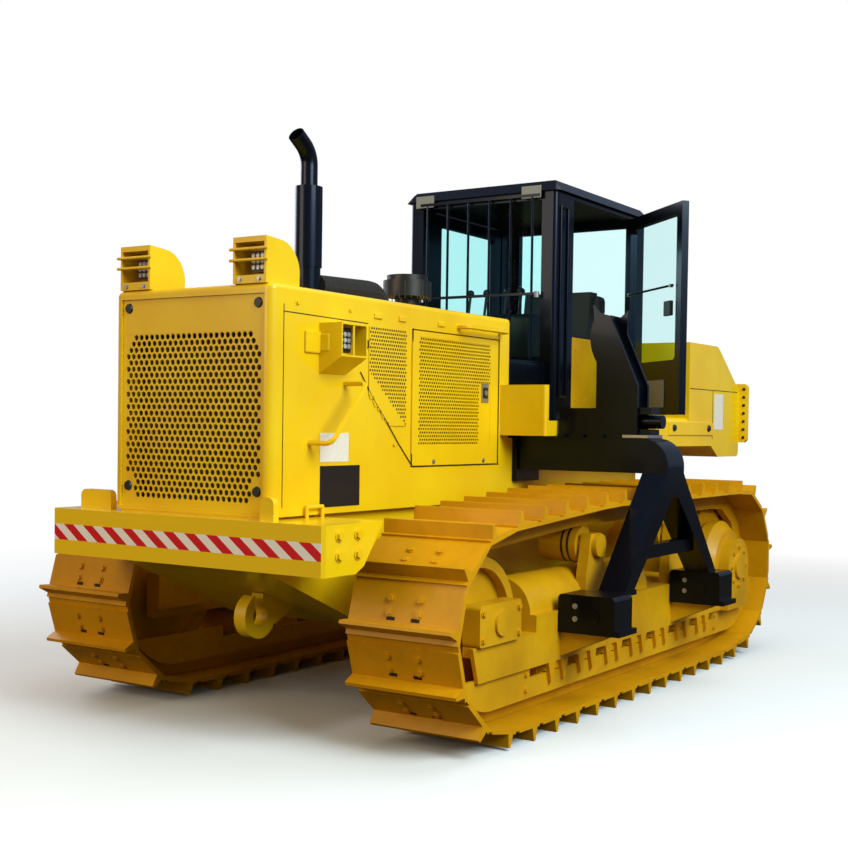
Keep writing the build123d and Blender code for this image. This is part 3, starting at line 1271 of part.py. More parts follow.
with BuildPart() as drawbar:
    with Locations((HULL_REAR - BAR_LENGTH / 2, 0, BAR_Z)):
        Box(BAR_LENGTH, BAR_WIDTH, BAR_THICKNESS)
    fillet(drawbar.edges().filter_by(Axis.Z).group_by(Axis.X)[0], 0.45 * BAR_WIDTH)
    with Locations((HULL_REAR - BAR_LENGTH + 0.35 * BAR_WIDTH, 0, BAR_Z)):
        Hole(BAR_PIN_RADIUS)
pieces["drawbar"] = drawbar

# Side frame: beam and elbow, splayed legs, cross bar, boom seats and tower
LEG_INNER = TRACK_Y + SHOE_WIDTH / 2 + TRACK_CLEARANCE
FRAME_OUTER = LEG_INNER + LEG_DEPTH
with BuildPart() as side_beam:
    with BuildSketch(Plane.YZ.offset(BEAM_X - BEAM_WIDTH / 2)):
        with Locations(((HOOD_HALF + FRAME_OUTER) / 2, (BEAM_BOTTOM + BEAM_TOP) / 2)):
            Rectangle(FRAME_OUTER - HOOD_HALF, BEAM_TOP - BEAM_BOTTOM)
        fillet(vertices().group_by(Axis.X)[-1].sort_by(Axis.Y)[-1], ELBOW_RADIUS)
    extrude(amount=BEAM_WIDTH)
    with Locations((BEAM_X, HOOD_HALF + BEAM_FLANGE / 2, (BEAM_BOTTOM - BEAM_FLANGE_DROP + BEAM_TOP) / 2)):
        Box(BEAM_WIDTH + 40, BEAM_FLANGE, BEAM_TOP - BEAM_BOTTOM + BEAM_FLANGE_DROP)
pieces["side_beam"] = side_beam

with BuildPart() as side_legs:
    with BuildSketch(side_plane(LEG_INNER)):
        with BuildLine():
            Polyline(
                (BEAM_X, BEAM_BOTTOM),
                (BEAM_X + BEAM_WIDTH / 2, BEAM_BOTTOM),
                (BEAM_X + LEG_FOOT, BOOM_SEAT_TOP),
                (BEAM_X + LEG_FOOT - LEG_WIDTH, BOOM_SEAT_TOP),
                (BEAM_X, LEG_CROTCH),
                close=True,
            )
        make_face()
        mirror(about=Plane.YZ.offset(BEAM_X))
        fillet(vertices().sort_by(Vertex(BEAM_X, LEG_CROTCH, 0).distance_to)[0], 60)
    extrude(amount=-LEG_DEPTH)
pieces["side_legs"] = side_legs

with BuildPart() as leg_brace:
    with BuildSketch(side_plane(LEG_INNER + (LEG_DEPTH - BRACE_DEPTH) / 2)):
        with BuildLine():
            inner_foot = LEG_FOOT - LEG_WIDTH
            brace_low = (LEG_CROTCH - BRACE_BOTTOM) / (LEG_CROTCH - BOOM_SEAT_TOP) * inner_foot
            brace_high = (LEG_CROTCH - BRACE_TOP) / (LEG_CROTCH - BOOM_SEAT_TOP) * inner_foot
            Polyline(
                (BEAM_X - brace_low, BRACE_BOTTOM),
                (BEAM_X + brace_low, BRACE_BOTTOM),
                (BEAM_X + brace_high, BRACE_TOP),
                (BEAM_X - brace_high, BRACE_TOP),
                close=True,
            )
        make_face()
    extrude(amount=-BRACE_DEPTH)
pieces["leg_brace"] = leg_brace

with BuildPart() as boom_seats:
    seat_height = BOOM_SEAT_TOP - BOOM_SEAT_BOTTOM
    slab_width = BOOM_SEAT_WIDTH + BOOM_SEAT_LIP
    for x in BOOM_SEAT_X:
        with BuildSketch(Plane.YZ.offset(x - BOOM_SEAT_LENGTH / 2)):
            with Locations((GUARD_SIDE + BOOM_SEAT_WIDTH / 2, BOOM_SEAT_BOTTOM + seat_height / 2)):
                RectangleRounded(BOOM_SEAT_WIDTH, seat_height, BOOM_SEAT_CORNER)
            with Locations((GUARD_SIDE + slab_width / 2, BOOM_SEAT_BOTTOM + BOOM_SEAT_SLAB / 2)):
                Rectangle(slab_width, BOOM_SEAT_SLAB)
            with Locations((BOOM_SEAT_OUTER - BOOM_PIN_SET, BOOM_SEAT_BOTTOM + BOOM_PIN_RISE)):
                Circle(BOOM_PIN_RADIUS, mode=Mode.SUBTRACT)
        extrude(amount=BOOM_SEAT_LENGTH)
    # the front leg stands behind its seat, on a plate
    plate_x = BOOM_SEAT_X[0] - (BOOM_SEAT_LENGTH + FOOT_PLATE_LENGTH) / 2
    with Locations((plate_x, LEG_INNER + LEG_DEPTH / 2, BOOM_SEAT_TOP - FOOT_PLATE / 2)):
        Box(FOOT_PLATE_LENGTH, LEG_DEPTH, FOOT_PLATE)
pieces["boom_seats"] = boom_seats


def tower_outline(inset, horn):
    """Side outline of the tower, drawn in by this much: a foot, a bulged neck and a horn.

    The horn stands at the inner end of the head for -1, at its outer end for 1, and nowhere for 0.
    """
    head = TOWER_TOP - inset
    neck = (TOWER_INNER + inset, TOWER_SHOULDER + 130)
    head_inner = (TOWER_HEAD_INNER + inset, head - 20)
    head_outer = (TOWER_HEAD_OUTER - inset, head - 90)
    saddle_inner = (TOWER_HEAD_INNER + inset + 35, head + 15)
    saddle_outer = (TOWER_HEAD_OUTER - inset - 40, head)
    crest = [saddle_outer, saddle_inner]
    if horn < 0:
        crest.append((TOWER_HEAD_INNER - 8, TOWER_TOP + TOWER_HORN))
    if horn > 0:
        crest.insert(0, (TOWER_HEAD_OUTER + 6, TOWER_TOP + 0.6 * TOWER_HORN))
    with BuildLine() as outline:
        Polyline(
            neck,
            (TOWER_INNER + inset, TOWER_FOOT_TOP - inset),
            (TOWER_FOOT_INNER + inset, TOWER_FOOT_TOP - inset),
            (TOWER_FOOT_INNER + inset, BEAM_TOP),
            (TOWER_OUTER - inset, BEAM_TOP),
            (TOWER_OUTER - inset, TOWER_SHOULDER),
            head_outer,
            *crest,
            head_inner,
        )
        ThreePointArc(head_inner, (TOWER_BULGE + inset, (head + TOWER_SHOULDER) / 2 + 50), neck)
    return outline


with BuildPart() as boom_tower:
    # outline's inset and horn, first x from the middle and length along x
    slices = (
        (0, 1, -TOWER_WIDTH / 2, TOWER_PLATE),
        (TOWER_FLANGE, 0, -TOWER_WIDTH / 2, TOWER_WIDTH),
        (0, -1, TOWER_WIDTH / 2 - TOWER_PLATE, TOWER_PLATE),
    )
    for inset, horn, start, length in slices:
        with BuildSketch(Plane.YZ.offset(BEAM_X + start)):
            add(tower_outline(inset, horn).line)
            make_face()
        extrude(amount=length)
    pin_start = TOWER_OUTER - 1.5 * TOWER_FLANGE
    with BuildSketch(side_plane(pin_start)):
        with Locations((BEAM_X, TOWER_PIN_Z)):
            Circle(TOWER_PIN_RADIUS)
    extrude(amount=pin_start - TOWER_OUTER - TOWER_PIN_REACH)
    lug_reach = 0.6 * TOWER_PIN_REACH + TOWER_OUTER - pin_start
    for rise in (-1.6, 1.6):
        with Locations((BEAM_X, pin_start + lug_reach / 2, TOWER_PIN_Z + rise * TOWER_PIN_RADIUS)):
            Box(TOWER_WIDTH - 2 * TOWER_PLATE, lug_reach, TOWER_PIN_RADIUS)
    base_outer = pin_start + lug_reach
    with Locations((BEAM_X, (TOWER_FOOT_INNER + base_outer) / 2, BEAM_TOP + TOWER_PLATE / 2)):
        Box(TOWER_WIDTH + 40, base_outer - TOWER_FOOT_INNER, TOWER_PLATE)
pieces["boom_tower"] = boom_tower

os.makedirs("parts", exist_ok=True)
for label, piece in pieces.items():
    piece.part.label = label
    export_step(piece.part, f"parts/{label}.step")
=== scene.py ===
import json
import math

import bmesh
import bpy
from mathutils import Matrix, Vector


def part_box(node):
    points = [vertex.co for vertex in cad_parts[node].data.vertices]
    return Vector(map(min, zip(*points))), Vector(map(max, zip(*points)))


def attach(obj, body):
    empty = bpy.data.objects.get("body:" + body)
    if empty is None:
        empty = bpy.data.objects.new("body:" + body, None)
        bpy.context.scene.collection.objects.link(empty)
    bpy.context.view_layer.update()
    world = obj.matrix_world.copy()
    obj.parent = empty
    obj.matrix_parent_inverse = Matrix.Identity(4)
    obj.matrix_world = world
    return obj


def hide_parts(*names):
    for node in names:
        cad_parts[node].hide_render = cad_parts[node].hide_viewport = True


# Looks of a crawler pipelayer. Metres, +X forward, +Y to the machine's left, +Z up.
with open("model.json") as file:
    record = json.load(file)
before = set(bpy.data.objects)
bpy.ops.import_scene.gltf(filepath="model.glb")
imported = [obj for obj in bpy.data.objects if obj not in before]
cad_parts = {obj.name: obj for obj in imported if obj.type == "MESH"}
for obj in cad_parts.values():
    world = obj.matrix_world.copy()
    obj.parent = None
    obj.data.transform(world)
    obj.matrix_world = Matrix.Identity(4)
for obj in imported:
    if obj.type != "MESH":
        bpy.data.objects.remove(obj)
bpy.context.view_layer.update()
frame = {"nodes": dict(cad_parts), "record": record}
nodes = frame["nodes"]
MM = 0.001

# Directions
AHEAD = Vector((1, 0, 0))
LEFT = Vector((0, 1, 0))
RIGHT = Vector((0, -1, 0))
UP = Vector((0, 0, 1))

# Places on the frame
hood_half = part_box("hood_sides")[1].y
hood_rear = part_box("hood_sides")[0].x
hood_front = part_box("radiator_housing")[1].x
hood_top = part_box("hood_top")[1].z
bumper_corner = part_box("front_bumper")[1]
tank_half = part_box("fuel_tank")[1].y

# Camera solved from the photograph: place, angles in degrees, lens and sensor in mm, sensor shift
CAMERA_PLACE = Vector((6.444, 4.166, 1.459))
CAMERA_HEADING = 211.84
CAMERA_PITCH = -1.54
CAMERA_ROLL = 0.87
CAMERA_LENS = 54.31
CAMERA_SENSOR = 36
CAMERA_SHIFT = (-0.0638, 0.0440)

# Finish colours
YELLOW = "#ECC80F"
# a darker copy of the yellow: painted shade on the undercarriage and on the panel beside the seat
SHADED_YELLOW = "#D4A309"
# a darker amber copy of the yellow: painted shade on the tracks
SHADED_AMBER = "#D29A06"
# a faint navy in the black: a painted cool reflection
BLACK = "#080B13"
RED = "#D2141E"
WHITE = "#EDEEF0"
DUST = "#6B4B17"
GLASS_FILTER = "#ECFFFF"
GLASS_BODY = "#10222A"

# Spans of the enamel's patterns: its drift of tone, patches of dust and orange peel
DRIFT_SPAN = 455 * MM
DUST_SPAN = 71.4 * MM
PEEL_SPAN = 9 * MM

# Clear coat and refraction of enamel and glass
COAT_ROUGHNESS = 0.08
GLOSS_IOR = 1.5

# Stripes across the bumper: the band's middle and half height, pitch of a red and white pair, slant
BAND_MIDDLE = 926 * MM
BAND_HALF = 38 * MM
BAND_PITCH = 132 * MM
BAND_SLANT = 1.33
BAND_DEPTH = 0.5 * MM

# Light from the surroundings: its level, its warm fill and what gloss reflects of it
WORLD_LEVEL = 0.34
WORLD_WARM = "#FFEBC8"
WORLD_COOL = "#C9DDFF"

# Floor: half width, reach of the shadow, its colour in view and the colour of the light it throws back
FLOOR_HALF = 60
FLOOR_REACH = 9
FLOOR_SEEN = "#E6F0FF"
FLOOR_THROWN = "#4A4744"

# Ends of a grey ramp, and plain white
BLACK_STOP = (0, 0, 0, 1)
WHITE_STOP = (1, 1, 1, 1)


def linear(code):
    """An sRGB hex colour as linear RGBA."""
    channels = [int(code[i:i + 2], 16) / 255 for i in (1, 3, 5)]
    return [c / 12.92 if c <= 0.04045 else ((c + 0.055) / 1.055) ** 2.4 for c in channels] + [1]


def add(tree, kind, links=None, inputs=None, stops=(), **settings):
    """Add a shader node with its settings, input values, colour stops and links {input: (node, output)}."""
    new = tree.nodes.new("ShaderNode" + kind)
    for name, value in settings.items():
        setattr(new, name, value)
    for name, value in (inputs or {}).items():
        new.inputs[name].default_value = value
    for index, (position, colour) in enumerate(stops):
        new.color_ramp.elements[index].position = position
        new.color_ramp.elements[index].color = colour
    for name, (source, output) in (links or {}).items():
        tree.links.new(source.outputs[output], new.inputs[name])
    return new


def material(name):
    """A new material with an empty node tree."""
    made = bpy.data.materials.new(name)
    made.use_nodes = True
    made.node_tree.nodes.clear()
    return made, made.node_tree


def enamel(name, colour, shade, roughness, coat, grime=0.0, specular=0.5, sheen=WHITE):
    """Sprayed enamel: an even gloss with a faint orange peel, a drift of tone and dust where asked."""
    made, tree = material(name)
    place = add(tree, "TexCoord")
    spot = {"Vector": (place, "Object")}
    drift = add(tree, "TexNoise", spot, {"Scale": 1 / DRIFT_SPAN, "Detail": 4})
    stops = ((0.3, linear(shade)), (0.62, linear(colour)))
    tone = add(tree, "ValToRGB", {"Fac": (drift, "Fac")}, stops=stops)
    base = (tone, "Color")
    if grime:
        dust = add(tree, "TexNoise", spot, {"Scale": 1 / DUST_SPAN, "Detail": 8})
        stops = ((0.52, BLACK_STOP), (0.75, (grime, grime, grime, 1)))
        patch = add(tree, "ValToRGB", {"Fac": (dust, "Fac")}, stops=stops)
        dusty = add(tree, "Mix", {0: (patch, "Color"), 6: base}, {7: linear(DUST)}, data_type="RGBA")
        base = (dusty, 2)
    peel = add(tree, "TexNoise", spot, {"Scale": 1 / PEEL_SPAN, "Detail": 2})
    bump = add(tree, "Bump", {"Height": (peel, "Fac")}, {"Strength": 0.05, "Distance": 0.4 * MM})
    values = {
        "Roughness": roughness,
        "Specular IOR Level": specular,
        "Specular Tint": linear(sheen),
        "Coat Weight": coat,
        "Coat Roughness": COAT_ROUGHNESS,
        "IOR": GLOSS_IOR,
    }
    paint = add(tree, "BsdfPrincipled", {"Base Color": base, "Normal": (bump, "Normal")}, values)
    add(tree, "OutputMaterial", {"Surface": (paint, "BSDF")})
    return made


def plain(name, colour, shade, roughness, metallic=0.0, grain=6 * MM):
    """Cast, moulded or rolled stuff: two close tones on a fine grain that also gives its bump."""
    made, tree = material(name)
    place = add(tree, "TexCoord")
    grit = add(tree, "TexNoise", {"Vector": (place, "Object")}, {"Scale": 1 / grain, "Detail": 5})
    stops = ((0.35, linear(shade)), (0.68, linear(colour)))
    tone = add(tree, "ValToRGB", {"Fac": (grit, "Fac")}, stops=stops)
    bump = add(tree, "Bump", {"Height": (grit, "Fac")}, {"Strength": 0.25, "Distance": 0.5 * MM})
    links = {"Base Color": (tone, "Color"), "Normal": (bump, "Normal")}
    stuff = add(tree, "BsdfPrincipled", links, {"Roughness": roughness, "Metallic": metallic})
    add(tree, "OutputMaterial", {"Surface": (stuff, "BSDF")})
    return made


def tinted_glass(name):
    """Toughened cab glass: each face filters the light to a cool tint, with a mirror gloss by angle."""
    made, tree = material(name)
    clear = add(tree, "BsdfTransparent", inputs={"Color": linear(GLASS_FILTER)})
    values = {"Base Color": linear(GLASS_BODY), "Roughness": 0.03, "IOR": GLOSS_IOR}
    pane = add(tree, "BsdfPrincipled", inputs=values)
    angle = add(tree, "LayerWeight", inputs={"Blend": 0.035})
    mixed = add(tree, "MixShader", {"Fac": (angle, "Facing"), 1: (clear, "BSDF"), 2: (pane, "BSDF")})
    add(tree, "OutputMaterial", {"Surface": (mixed, "Shader")})
    return made


def striped_enamel(name):
    """The yellow enamel with a band of slanting red and white stripes across the bumper's front."""
    made, tree = material(name)
    place = add(tree, "TexCoord")
    axes = add(tree, "SeparateXYZ", {"Vector": (place, "Object")})
    face = {1: bumper_corner.x - BAND_DEPTH}
    front = add(tree, "Math", {0: (axes, "X")}, face, operation="GREATER_THAN")
    band = add(tree, "Math", {0: (axes, "Z")}, {1: BAND_MIDDLE, 2: BAND_HALF}, operation="COMPARE")
    shown = add(tree, "Math", {0: (front, "Value"), 1: (band, "Value")}, operation="MULTIPLY")
    run = {0: (axes, "Z"), 2: (axes, "Y")}
    slant = add(tree, "Math", run, {1: BAND_SLANT}, operation="MULTIPLY_ADD")
    count = add(tree, "Math", {0: (slant, "Value")}, {1: BAND_PITCH}, operation="DIVIDE")
    part = add(tree, "Math", {0: (count, "Value")}, operation="FRACT")
    turn = add(tree, "Math", {0: (part, "Value")}, {1: 0.5}, operation="GREATER_THAN")
    pair = {6: linear(RED), 7: linear(WHITE)}
    stripes = add(tree, "Mix", {0: (turn, "Value")}, pair, data_type="RGBA")
    over = {0: (shown, "Value"), 7: (stripes, 2)}
    colour = add(tree, "Mix", over, {6: linear(YELLOW)}, data_type="RGBA")
    values = {"Roughness": 0.28, "Coat Weight": 0.35, "Coat Roughness": COAT_ROUGHNESS, "IOR": GLOSS_IOR}
    paint = add(tree, "BsdfPrincipled", {"Base Color": (colour, 2)}, values)
    add(tree, "OutputMaterial", {"Surface": (paint, "BSDF")})
    return made


# Materials by slot of the record: colour, darker shade, roughness, then coat or metallic
finish = {
    # two-pack yellow enamel on plate: wet gloss, even colour
    "yellow_paint": enamel("yellow_enamel", YELLOW, "#E5B90A", 0.3, 0.2),
    # the same enamel brushed over cast track links and shoes: duller, in a darker amber copy that paints
    # shade, and a little dusty
    "track_steel": enamel("shaded_track_enamel", SHADED_AMBER, "#C28B04", 0.45, 0.05, grime=0.14, specular=0.25),
    # oiled bare castings: dark, with a weak metal sheen
    "dark_steel": plain("oiled_casting", "#4A443A", "#2B2722", 0.5, 0.4),
    # radiator fins in a mid brown instead of black: quite matt; behind the vents the same brown is painted
    # shade
    "radiator_black": plain("brown_fins_and_vent_shade", "#5E4820", "#46351A", 0.8),
    # black enamel on plate and tube: deep, with a faint navy in its colour and a blue tint on its gloss, a
    # painted cool reflection
    "black_paint": enamel("black_enamel_painted_sheen", BLACK, "#05070C", 0.26, 0.08, specular=0.28, sheen="#B4CDFF"),
    # woven heat wrap: matt and coarse
    "black_wrap": plain("heat_wrap", "#232325", "#0B0B0C", 0.9, grain=9 * MM),
    # moulded black plastic: satin with fine grain
    "black_plastic": plain("moulded_black", "#17181B", "#0F1012", 0.42, grain=3 * MM),
    # die-cast lamp shells: dark satin
    "lamp_black": plain("lamp_shell", "#202125", "#141518", 0.35, grain=3 * MM),
    # toughened cab glass: clear, with a cool tint
    "clear_glass": tinted_glass("cab_glass_tint"),
    # seat vinyl: soft satin with an embossed grain
    "seat_vinyl": plain("seat_vinyl", "#1D1E22", "#141417", 0.55, grain=4 * MM),
}
# the yellow enamel of the undercarriage and of the panel beside the seat: a deeper copy that paints their
# shade, with a little dust
shaded_enamel = enamel("undercarriage_shaded_enamel", SHADED_YELLOW, "#B98806", 0.4, 0.1, grime=0.1)
# zinc-plated bolts and plates: a grey metal sheen
zinc = plain("zinc_plate", "#B9BBBD", "#9A9C9E", 0.35, 0.8, grain=2 * MM)
# silvered moulding behind the lamps' clear fronts: bright and smooth
lens = plain("lamp_reflector", "#D7DCE0", "#AEB6BC", 0.2, 0.3, grain=12 * MM)
# blank white plates: painted sheet, satin
plate_white = plain("blank_plate_white", "#E8E8E6", "#DADAD7", 0.4, grain=8 * MM)
# blank grey plates: painted sheet, duller
plate_grey = plain("panel_grey", "#8F959A", "#80868B", 0.5, grain=5 * MM)
# painted shadow in gaps, slots and on the rear guard's bolts: matt brown black, so that a joint reads as
# depth
joint_dark = plain("sheet_joint", "#2A1E06", "#1B1304", 0.8)

UNDERCARRIAGE = (
    "left_track_frame",
    "right_track_frame",
    "roller_guards",
    "idlers",
    "idler_blocks",
    "final_drives",
    "carrier_rollers",
)
# the undercarriage's nodes take the darker copy of the yellow: painted shade
for part in frame["record"]["subparts"]:
    looks = nodes[part["node"]].data.materials
    looks.clear()
    looks.append(shaded_enamel if part["node"] in UNDERCARRIAGE else finish[part["material_slot"]])
nodes["front_bumper"].data.materials[0] = striped_enamel("bumper_enamel")


def piece(name, shape, look, slot, body="chassis", node=None, wall=0.0):
    """A named object from a bmesh: it rides on a body and, where asked, stands for a CAD node."""
    bmesh.ops.recalc_face_normals(shape, faces=shape.faces)
    mesh = bpy.data.meshes.new(name)
    shape.to_mesh(mesh)
    shape.free()
    mesh.materials.append(look)
    made = bpy.data.objects.new(name, mesh)
    bpy.context.scene.collection.objects.link(made)
    if wall:
        thick = made.modifiers.new("wall", "SOLIDIFY")
        thick.thickness = wall
        thick.offset = 0
    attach(made, body)
    if node:
        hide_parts(node)


def painted(name, shape, slot="yellow_paint", **rest):
    """A piece in the finish of its slot."""
    piece(name, shape, finish[slot], slot, **rest)


def shapes(count):
    """That many empty bmeshes."""
    return [bmesh.new() for _ in range(count)]


def at(x, y, z):
    """A point given in millimetres."""
    return Vector((x, y, z)) * MM


def block(shape, low, high, edge=0.0):
    """A box between two corners, its edges rounded where asked."""
    low, high = Vector(low), Vector(high)
    verts = bmesh.ops.create_cube(shape, size=1)["verts"]
    fit = Matrix.Translation((low + high) / 2) @ Matrix.Diagonal((*(high - low), 1))
    bmesh.ops.transform(shape, matrix=fit, verts=verts)
    if edge:
        edges = list({e for v in verts for e in v.link_edges})
        bmesh.ops.bevel(
            shape, geom=edges, offset=edge, segments=2, profile=0.5, affect="EDGES", material=-1
        )


def rod(shape, start, end, radius, sides=16, tip=None):
    """A round bar between two points, tapered to a tip radius where asked."""
    start, end = Vector(start), Vector(end)
    turn = (end - start).to_track_quat("Z", "Y").to_matrix().to_4x4()
    bmesh.ops.create_cone(
        shape,
        cap_ends=True,
        segments=sides,
        radius1=radius,
        radius2=radius if tip is None else tip,
        depth=(end - start).length,
        matrix=Matrix.Translation((start + end) / 2) @ turn,
    )


def bent_bar(shape, points, radius):
    """A bar along straight runs with a ball at each bend."""
    for start, end in zip(points, points[1:]):
        rod(shape, start, end, radius, sides=12)
    for bend in points[1:-1]:
        ball = Matrix.Translation(bend)
        bmesh.ops.create_uvsphere(shape, u_segments=12, v_segments=8, radius=radius, matrix=ball)


def bolts(shape, places, normal, head=14 * MM, height=11 * MM):
    """Hexagon heads on washers, standing off a surface along its normal."""
    washer, washer_height = 1.4 * head, 0.3 * height
    for place in places:
        rod(shape, place, place + normal * washer_height, washer, sides=12)
        rod(shape, place, place + normal * height, head, sides=6)


def flat_cell(width, height):
    """One flat rectangle round the origin."""
    cell = bmesh.new()
    bmesh.ops.create_grid(cell, x_segments=1, y_segments=1, size=0.5)
    bmesh.ops.scale(cell, vec=(width, height, 1), verts=cell.verts)
    return cell


def hole_cell(width, height, hole):
    """One flat rectangle with an eight-sided hole, round the origin."""
    cell = flat_cell(width, height)
    # the inset only makes an inner face, whose corners and edge middles then go on the hole's circle
    inner = list(cell.faces)[0]
    bmesh.ops.inset_individual(cell, faces=[inner], thickness=0.1 * width)
    for corner in inner.verts:
        corner.co *= hole / corner.co.length
    bmesh.ops.subdivide_edges(cell, edges=list(inner.edges), cuts=1)
    for vert in cell.verts:
        if vert.co.length < 1.01 * hole:
            vert.co *= hole / vert.co.length
    ring = [f for f in cell.faces if f.calc_center_median().length < 0.01 * width]
    bmesh.ops.delete(cell, geom=ring, context="FACES_ONLY")
    return cell


def perforated(shape, place, columns, rows, pitch, rise, hole, kind):
    """A perforated sheet in staggered rows; kind(u, v) is "hole", "plain" or None for a cell."""
    cells = {}
    for word, cell in (("hole", hole_cell(pitch, rise, hole)), ("plain", flat_cell(pitch, rise))):
        cells[word] = bpy.data.meshes.new(word + "_cell")
        cell.to_mesh(cells[word])
        cell.free()
    for row in range(rows):
        shifted = row % 2
        v = (row - (rows - 1) / 2) * rise
        # place along the row and share of a full cell's width
        spots = [((c - (columns - 1 - shifted) / 2) * pitch, 1) for c in range(columns - shifted)]
        if shifted:
            spots += [(side * (columns / 2 - 0.25) * pitch, 0.5) for side in (-1, 1)]
        for u, width in spots:
            word = kind(u, v)
            if word is None:
                continue
            first = len(shape.verts)
            shape.from_mesh(cells["plain" if width < 1 else word])
            shape.verts.ensure_lookup_table()
            spot = place @ Matrix.Translation((u, v, 0)) @ Matrix.Diagonal((width, 1, 1, 1))
            bmesh.ops.transform(shape, matrix=spot, verts=shape.verts[first:])
    for mesh in cells.values():
        bpy.data.meshes.remove(mesh)


def surround(low, high, field_low, field_high):
    """The four strips of a border round a field, each as two opposite corners."""
    return (
        (low, (field_low[0], high[1])),
        ((field_high[0], low[1]), high),
        ((field_low[0], low[1]), (field_high[0], field_low[1])),
        ((field_low[0], field_high[1]), (field_high[0], high[1])),
    )


def facing(origin, u_axis, v_axis):
    """The place of a flat sheet: its middle and the directions of its two sides."""
    turn = Matrix((u_axis, v_axis, u_axis.cross(v_axis))).transposed().to_4x4()
    return Matrix.Translation(origin) @ turn


def flip(shape):
    """Turn a shape over to the machine's right."""
    bmesh.ops.transform(shape, matrix=Matrix.Diagonal((1, -1, 1, 1)), verts=shape.verts)


def front_screen():
    """The grille: a perforated sheet in a plain border, closed at its corners, with four knobs."""
    low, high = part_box("front_grille")
    face = high.x - 12 * MM
    middle = 1485 * MM
    columns, rows = 25, 26
    pitch, rise, hole = 33.6 * MM, 29.2 * MM, 13.8 * MM
    half_u, half_v = columns * pitch / 2, rows * rise / 2
    chamfer = 75 * MM
    notch_side, notch_height = 355 * MM, 105 * MM
    sheet_wall, border_half = 6 * MM, 4 * MM
    knob_side, knob_heights = 398, (1160, 1987)
    knob_foot, knob_top, knob_height = 26 * MM, 20 * MM, 12 * MM

    def kind(u, v):
        """Plain where the upper corners are cut off and the lower ones leave room for knobs."""
        chamfered = abs(u) + v > half_u + half_v - chamfer
        notched = abs(u) > notch_side and v < notch_height - half_v
        return "plain" if chamfered or notched else "hole"

    sheet, border, knobs = shapes(3)
    perforated(sheet, facing((face, 0, middle), LEFT, UP), columns, rows, pitch, rise, hole, kind)
    painted("grille_screen", sheet, node="front_grille", wall=sheet_wall)
    field = (-half_u, middle - half_v), (half_u, middle + half_v)
    for a, b in surround((low.y, low.z), (high.y, high.z), *field):
        block(border, (face - border_half, *a), (face + border_half, *b))
    painted("grille_border", border)
    for y in (-knob_side, knob_side):
        for z in knob_heights:
            place = Vector((face, y * MM, z * MM))
            rod(knobs, place, place + AHEAD * knob_height, knob_foot, sides=20, tip=knob_top)
    painted("grille_knobs", knobs, "black_plastic")


def engine_door(side, name):
    """An engine door: a pressed panel with a perforated field, a hinge rod in front and a latch."""
    low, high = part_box(name)
    face = hood_half - 2 * MM
    front, hinge = 1150 * MM, 1157 * MM
    panel_wall, sheet_wall = 8 * MM, 4 * MM
    columns, rows = 34, 30
    pitch, rise, hole = 20.5 * MM, 18.3 * MM, 7.4 * MM
    half_u, half_v = columns * pitch / 2, rows * rise / 2
    middle = Vector((742 * MM, face - panel_wall / 2, 1636 * MM))
    hinge_set, hinge_margin, hinge_radius = 8 * MM, 60 * MM, 7 * MM
    latch_strip, latch_height, latch_top = 115 * MM, 1645 * MM, 55 * MM
    latch = Vector((middle.x - half_u + latch_strip / 2, face, latch_height))
    plate_low, plate_high = at(36, 8, 52), at(36, 3, 52)
    lock_low, lock_high = at(24, 0, 30), at(24, 5, 30)
    barrel_length, barrel_radius = 9 * MM, 15 * MM
    screw_height, screw_places = 1276, (950, 460)

    def kind(u, v):
        """Plain below the latch's top, in the strip that carries it."""
        in_strip = u < latch_strip - half_u
        return "plain" if in_strip and v < latch.z + latch_top - middle.z else "hole"

    panel, sheet, catch, lock = shapes(4)
    field = (middle.x - half_u, middle.z - half_v), (middle.x + half_u, middle.z + half_v)
    for a, b in surround((low.x, low.z), (front, high.z), *field):
        block(panel, (a[0], face - panel_wall, a[1]), (b[0], face, b[1]))
    line = Vector((hinge, face + hinge_set, 0))
    rod(panel, line + UP * (low.z + hinge_margin), line + UP * (high.z - hinge_margin), hinge_radius)
    perforated(sheet, facing(middle, AHEAD, UP), columns, rows, pitch, rise, hole, kind)
    block(catch, latch - plate_low, latch + plate_high, edge=2 * MM)
    rod(catch, latch, latch + LEFT * barrel_length, barrel_radius, sides=20)
    block(lock, latch - lock_low, latch + lock_high, edge=2 * MM)
    screws = [at(x, 0, screw_height) + LEFT * face for x in screw_places]
    bolts(catch, screws, LEFT, head=9 * MM, height=7 * MM)
    for shape in (panel, sheet, catch, lock):
        if side < 0:
            flip(shape)
    painted(name + "_panel", panel, body=name, node=name)
    painted(name + "_screen", sheet, body=name, wall=sheet_wall)
    piece(name + "_latch", catch, zinc, "lamp_black", name)
    painted(name + "_lock", lock, "black_plastic", body=name)


